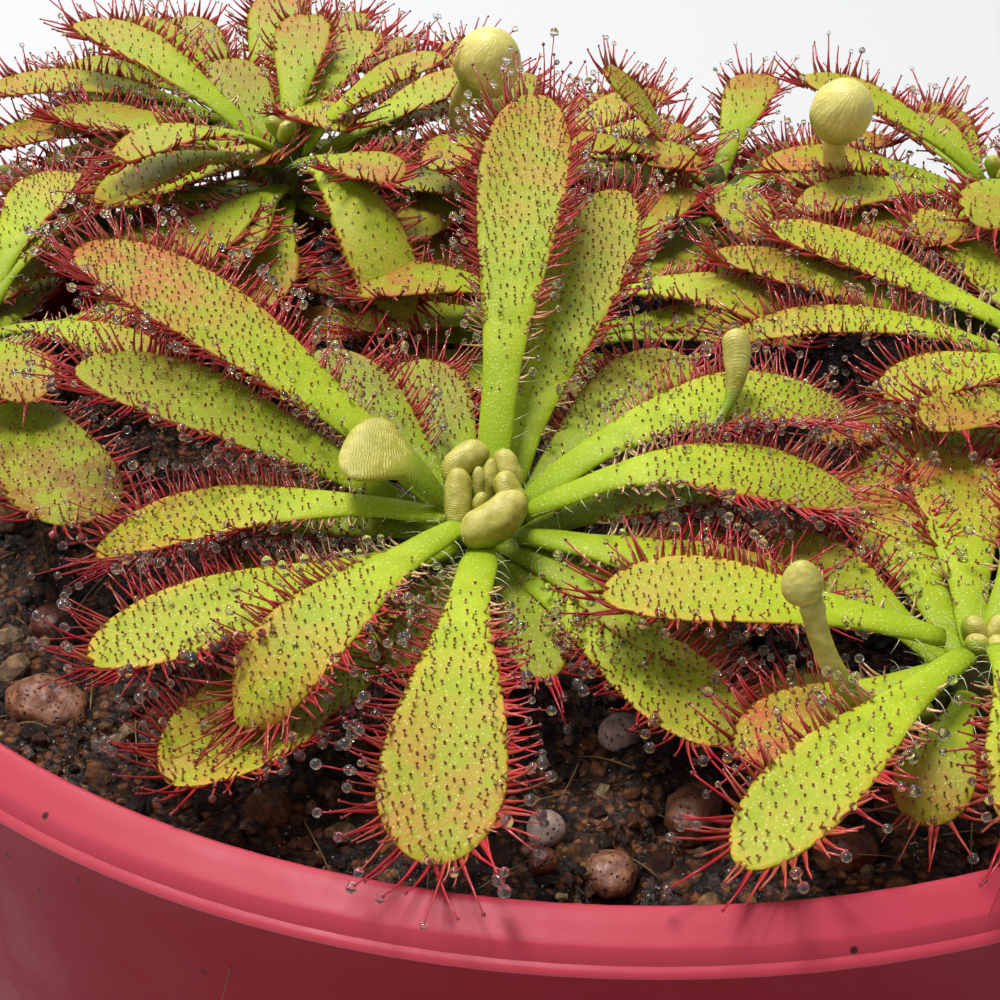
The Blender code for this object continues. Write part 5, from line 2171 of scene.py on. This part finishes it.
REAR_LEAVES = unders(
    (190, 15, 4.4, 26, 5, 0.6), (240, 15, 4.4, 20, 10, 1.6), (290, 15, 4.4, 20, 10, 0.6),
    (340, 11.4, 4.4, 21, 12, 1.6), (40, 15, 4.4, 33, 6, 0.6, 0.8, 0.0),
    (90, 15, 4.4, 24, 10, 1.6), (10, 12.9, 4.4, 21, 10, 2.6, 0.8, 0.0),
    (262, 12, 4.2, 40, 16, 3.4))
REAR_RIGHT_LEAVES = (
    Leaf("upright", 172, 11, 4.4, 66, -40, 3, blush=0.5),
    *unders((250, 15, 4.4, 18, 8, 1), (300, 15, 4.4, 16, 10, 2.2), (345, 13, 4.4, 14, 10, 1),
            (50, 13, 4.4, 8, 10, 1.8), (100, 13, 4.4, 8, 10, 0.6), (150, 13, 4.4, 16, 8, 1.6),
            (275, 12, 4.2, 34, 16, 3.4)))
MIDDLE_LEAVES = unders(
    (10, 13, 4.2, 12, 14, 1), (55, 12, 4.2, 14, 14, 2), (130, 12, 4.2, 14, 14, 1),
    (180, 13, 4.2, 12, 14, 2), (215, 11, 4.2, 10, 14, 0.4), (328, 12, 4.2, 8, 12, 0))
MIDDLE_LEFT_LEAVES = (
    Leaf("yellow", 335, 15, 4.2, 16, 14, 3, blush=0.2),
    *unders((20, 12, 4.2, 36, 3, 1), (290, 13, 4.2, 14, 16, 1), (240, 12, 4.2, 22, 12, 2),
            (150, 10, 4.2, 40, 6, 2.4)))
FAR_RIGHT_LEAVES = unders(
    (200, 15, 4.4, 24, 13, 3), (150, 15, 4.4, 14, 12, 0.6), (230, 14, 4.4, 16, 8, 1.4),
    (280, 13, 4.4, 16, 10, 2.4), (330, 14, 4.4, 18, 10, 1), (60, 13, 4.4, 12, 12, 1.2),
    (20, 13, 4.4, 24, 10, 2.4), (110, 12, 4.4, 24, 10, 2.4), (250, 12, 4.2, 36, 14, 4))

ROSETTES = (
    Rosette("main", -6.7, -21.2, 4.0, 10, 270, MAIN_LEAVES, Detail.HERO, top_rise=2.2,
            undergrowth=MAIN_UNDERGROWTH),
    Rosette("front_right", 15.5, -31.0, 3.4, 5, 270, FRONT_RIGHT_LEAVES, Detail.NEAR,
            top_rise=2.2, rolls=4),
    Rosette("right", 28.0, -6.0, 5.0, 5, 270, RIGHT_LEAVES, Detail.NEAR, 3, 2,
            RIGHT_UNDERGROWTH, rolls=4),
    Rosette("rear_left", -21.0, 20.0, 9.0, 5, 270, REAR_LEFT_LEAVES, Detail.FAR, 7, 3,
            REAR_LEFT_UNDERGROWTH, rolls=3),
    Rosette("left", -38.0, 0.0, 5.0, 5, 90, LEFT_LEAVES, Detail.NEAR, 3, 4, rolls=4),
    Rosette("far_left", -25.0, 31.0, 8.0, 5, 270, FAR_LEFT_LEAVES, Detail.FAR, 8, 5,
            FAR_LEFT_UNDERGROWTH),
    Rosette("rear_right", 9.5, 23.0, 5.5, 5, 270, REAR_RIGHT_LEAVES, Detail.FAR, 6, 6,
            REAR_RIGHT_UNDERGROWTH),
    Rosette("rear", -5.0, 25.0, 7.0, 5, 270, REAR_LEAVES, Detail.FAR, 6, 7, REAR_UNDERGROWTH),
    Rosette("far_right", 28.0, 16.0, 7.0, 5, 270, FAR_RIGHT_LEAVES, Detail.FAR, 5, 8,
            FAR_RIGHT_UNDERGROWTH, rolls=3),
    Rosette("middle", -2.0, 7.0, 2.6, 5, 270, MIDDLE_LEAVES, Detail.FAR, 6, 9,
            MIDDLE_UNDERGROWTH),
    Rosette("middle_left", -34.0, 17.0, 4.6, 5, 270, MIDDLE_LEFT_LEAVES, Detail.FAR, 6, 10),
)


# ------------------------ studio


@dataclass(frozen=True)
class SoftLight:
    """A square soft light that faces the pot; sizes in metres."""

    name: str
    place: Point
    size: float
    power: float

    def build(self) -> None:
        """Hang the light and turn it to the plants."""
        data = bpy.data.lights.new(self.name, "AREA")
        data.shape = "SQUARE"
        data.size = self.size
        data.energy = self.power
        lamp = link(self.name, data)
        lamp.location = self.place
        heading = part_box("main_crown")[1] - lamp.location
        lamp.rotation_euler = heading.to_track_quat("-Z", "Y").to_euler()


@dataclass(frozen=True)
class Studio:
    """Pale table, soft lights and a camera close over the pot's front edge."""

    floor_size: float = 6.0
    table: Colour = (0.58, 0.585, 0.59)
    sky: float = 0.3
    sky_colour: Colour = (0.97, 0.98, 1.0)
    nearest: float = 0.002
    lens: float = 57.6
    camera: Point = (-0.00605, -0.08867, 0.12864)
    pitch: float = 58.8
    lights: tuple[SoftLight, ...] = (
        SoftLight("top_light", (-0.5, 0.3, 2.4), 0.7, 58.0),
        SoftLight("rear_light", (-0.4, 1.5, 1.5), 1.0, 15.0),
        SoftLight("left_light", (-2.0, -0.7, 1.3), 0.9, 11.0))

    def build(self) -> None:
        """Set up the table, the lights, the sky and the camera."""
        scene = bpy.context.scene
        floor = bpy.data.meshes.new("table_top")
        half = self.floor_size / 2.0
        floor.from_pydata([(-half, -half, 0), (half, -half, 0), (half, half, 0), (-half, half, 0)],
                          [], [(0, 1, 2, 3)])
        floor.materials.append(SurfaceGraph("pale_table", 0.7).done(self.table))
        link("table_top", floor)
        scene.world = bpy.data.worlds.new("studio_sky")
        scene.world.use_nodes = True
        sky = scene.world.node_tree.nodes["Background"].inputs
        sky["Color"].default_value = (*self.sky_colour, 1.0)
        sky["Strength"].default_value = self.sky
        for light in self.lights:
            light.build()
        data = bpy.data.cameras.new("close_camera")
        data.lens = self.lens
        data.clip_start = self.nearest
        scene.camera = link("close_camera", data)
        scene.camera.location = self.camera
        scene.camera.rotation_euler = (math.radians(self.pitch), 0.0, 0.0)
        scene.view_settings.view_transform = "Standard"
        scene.cycles.max_bounces = 6
        scene.cycles.diffuse_bounces = 3
        scene.cycles.glossy_bounces = 2
        scene.cycles.transmission_bounces = 4
        scene.cycles.transparent_max_bounces = 8


def report_size() -> None:
    """Bring the scene's view layer up to date."""
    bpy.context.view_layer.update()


def crown_middle() -> Array:
    """The middle of the ring of coils, in millimetres."""
    boxes = [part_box(coil.node) for coil in COILS if coil.node]
    return np.mean([np.array((low + high) / 2.0) for low, high in boxes], axis=0) / MM


def main() -> None:
    """Build the studio, the pot, its peat and stones, and every plant."""
    logging.basicConfig(level=logging.INFO, format="%(name)s: %(message)s")
    report_size()
    palette = Palette()
    Studio().build()
    Pot().build(palette.pot)
    PeatBed().build(palette)
    for stone in STONES:
        stone.build(palette)
    for rosette in ROSETTES:
        rosette.build(palette)
    axes = ROSETTES[0].frame()[1]
    middle = crown_middle() - RING_DROP * axes[:, 2]
    for coil in COILS:
        coil.build(axes, middle, palette.young)
    for shoot in SHOOTS:
        shoot.build(palette)
    report_size()


if __name__ == "__main__":
    main()
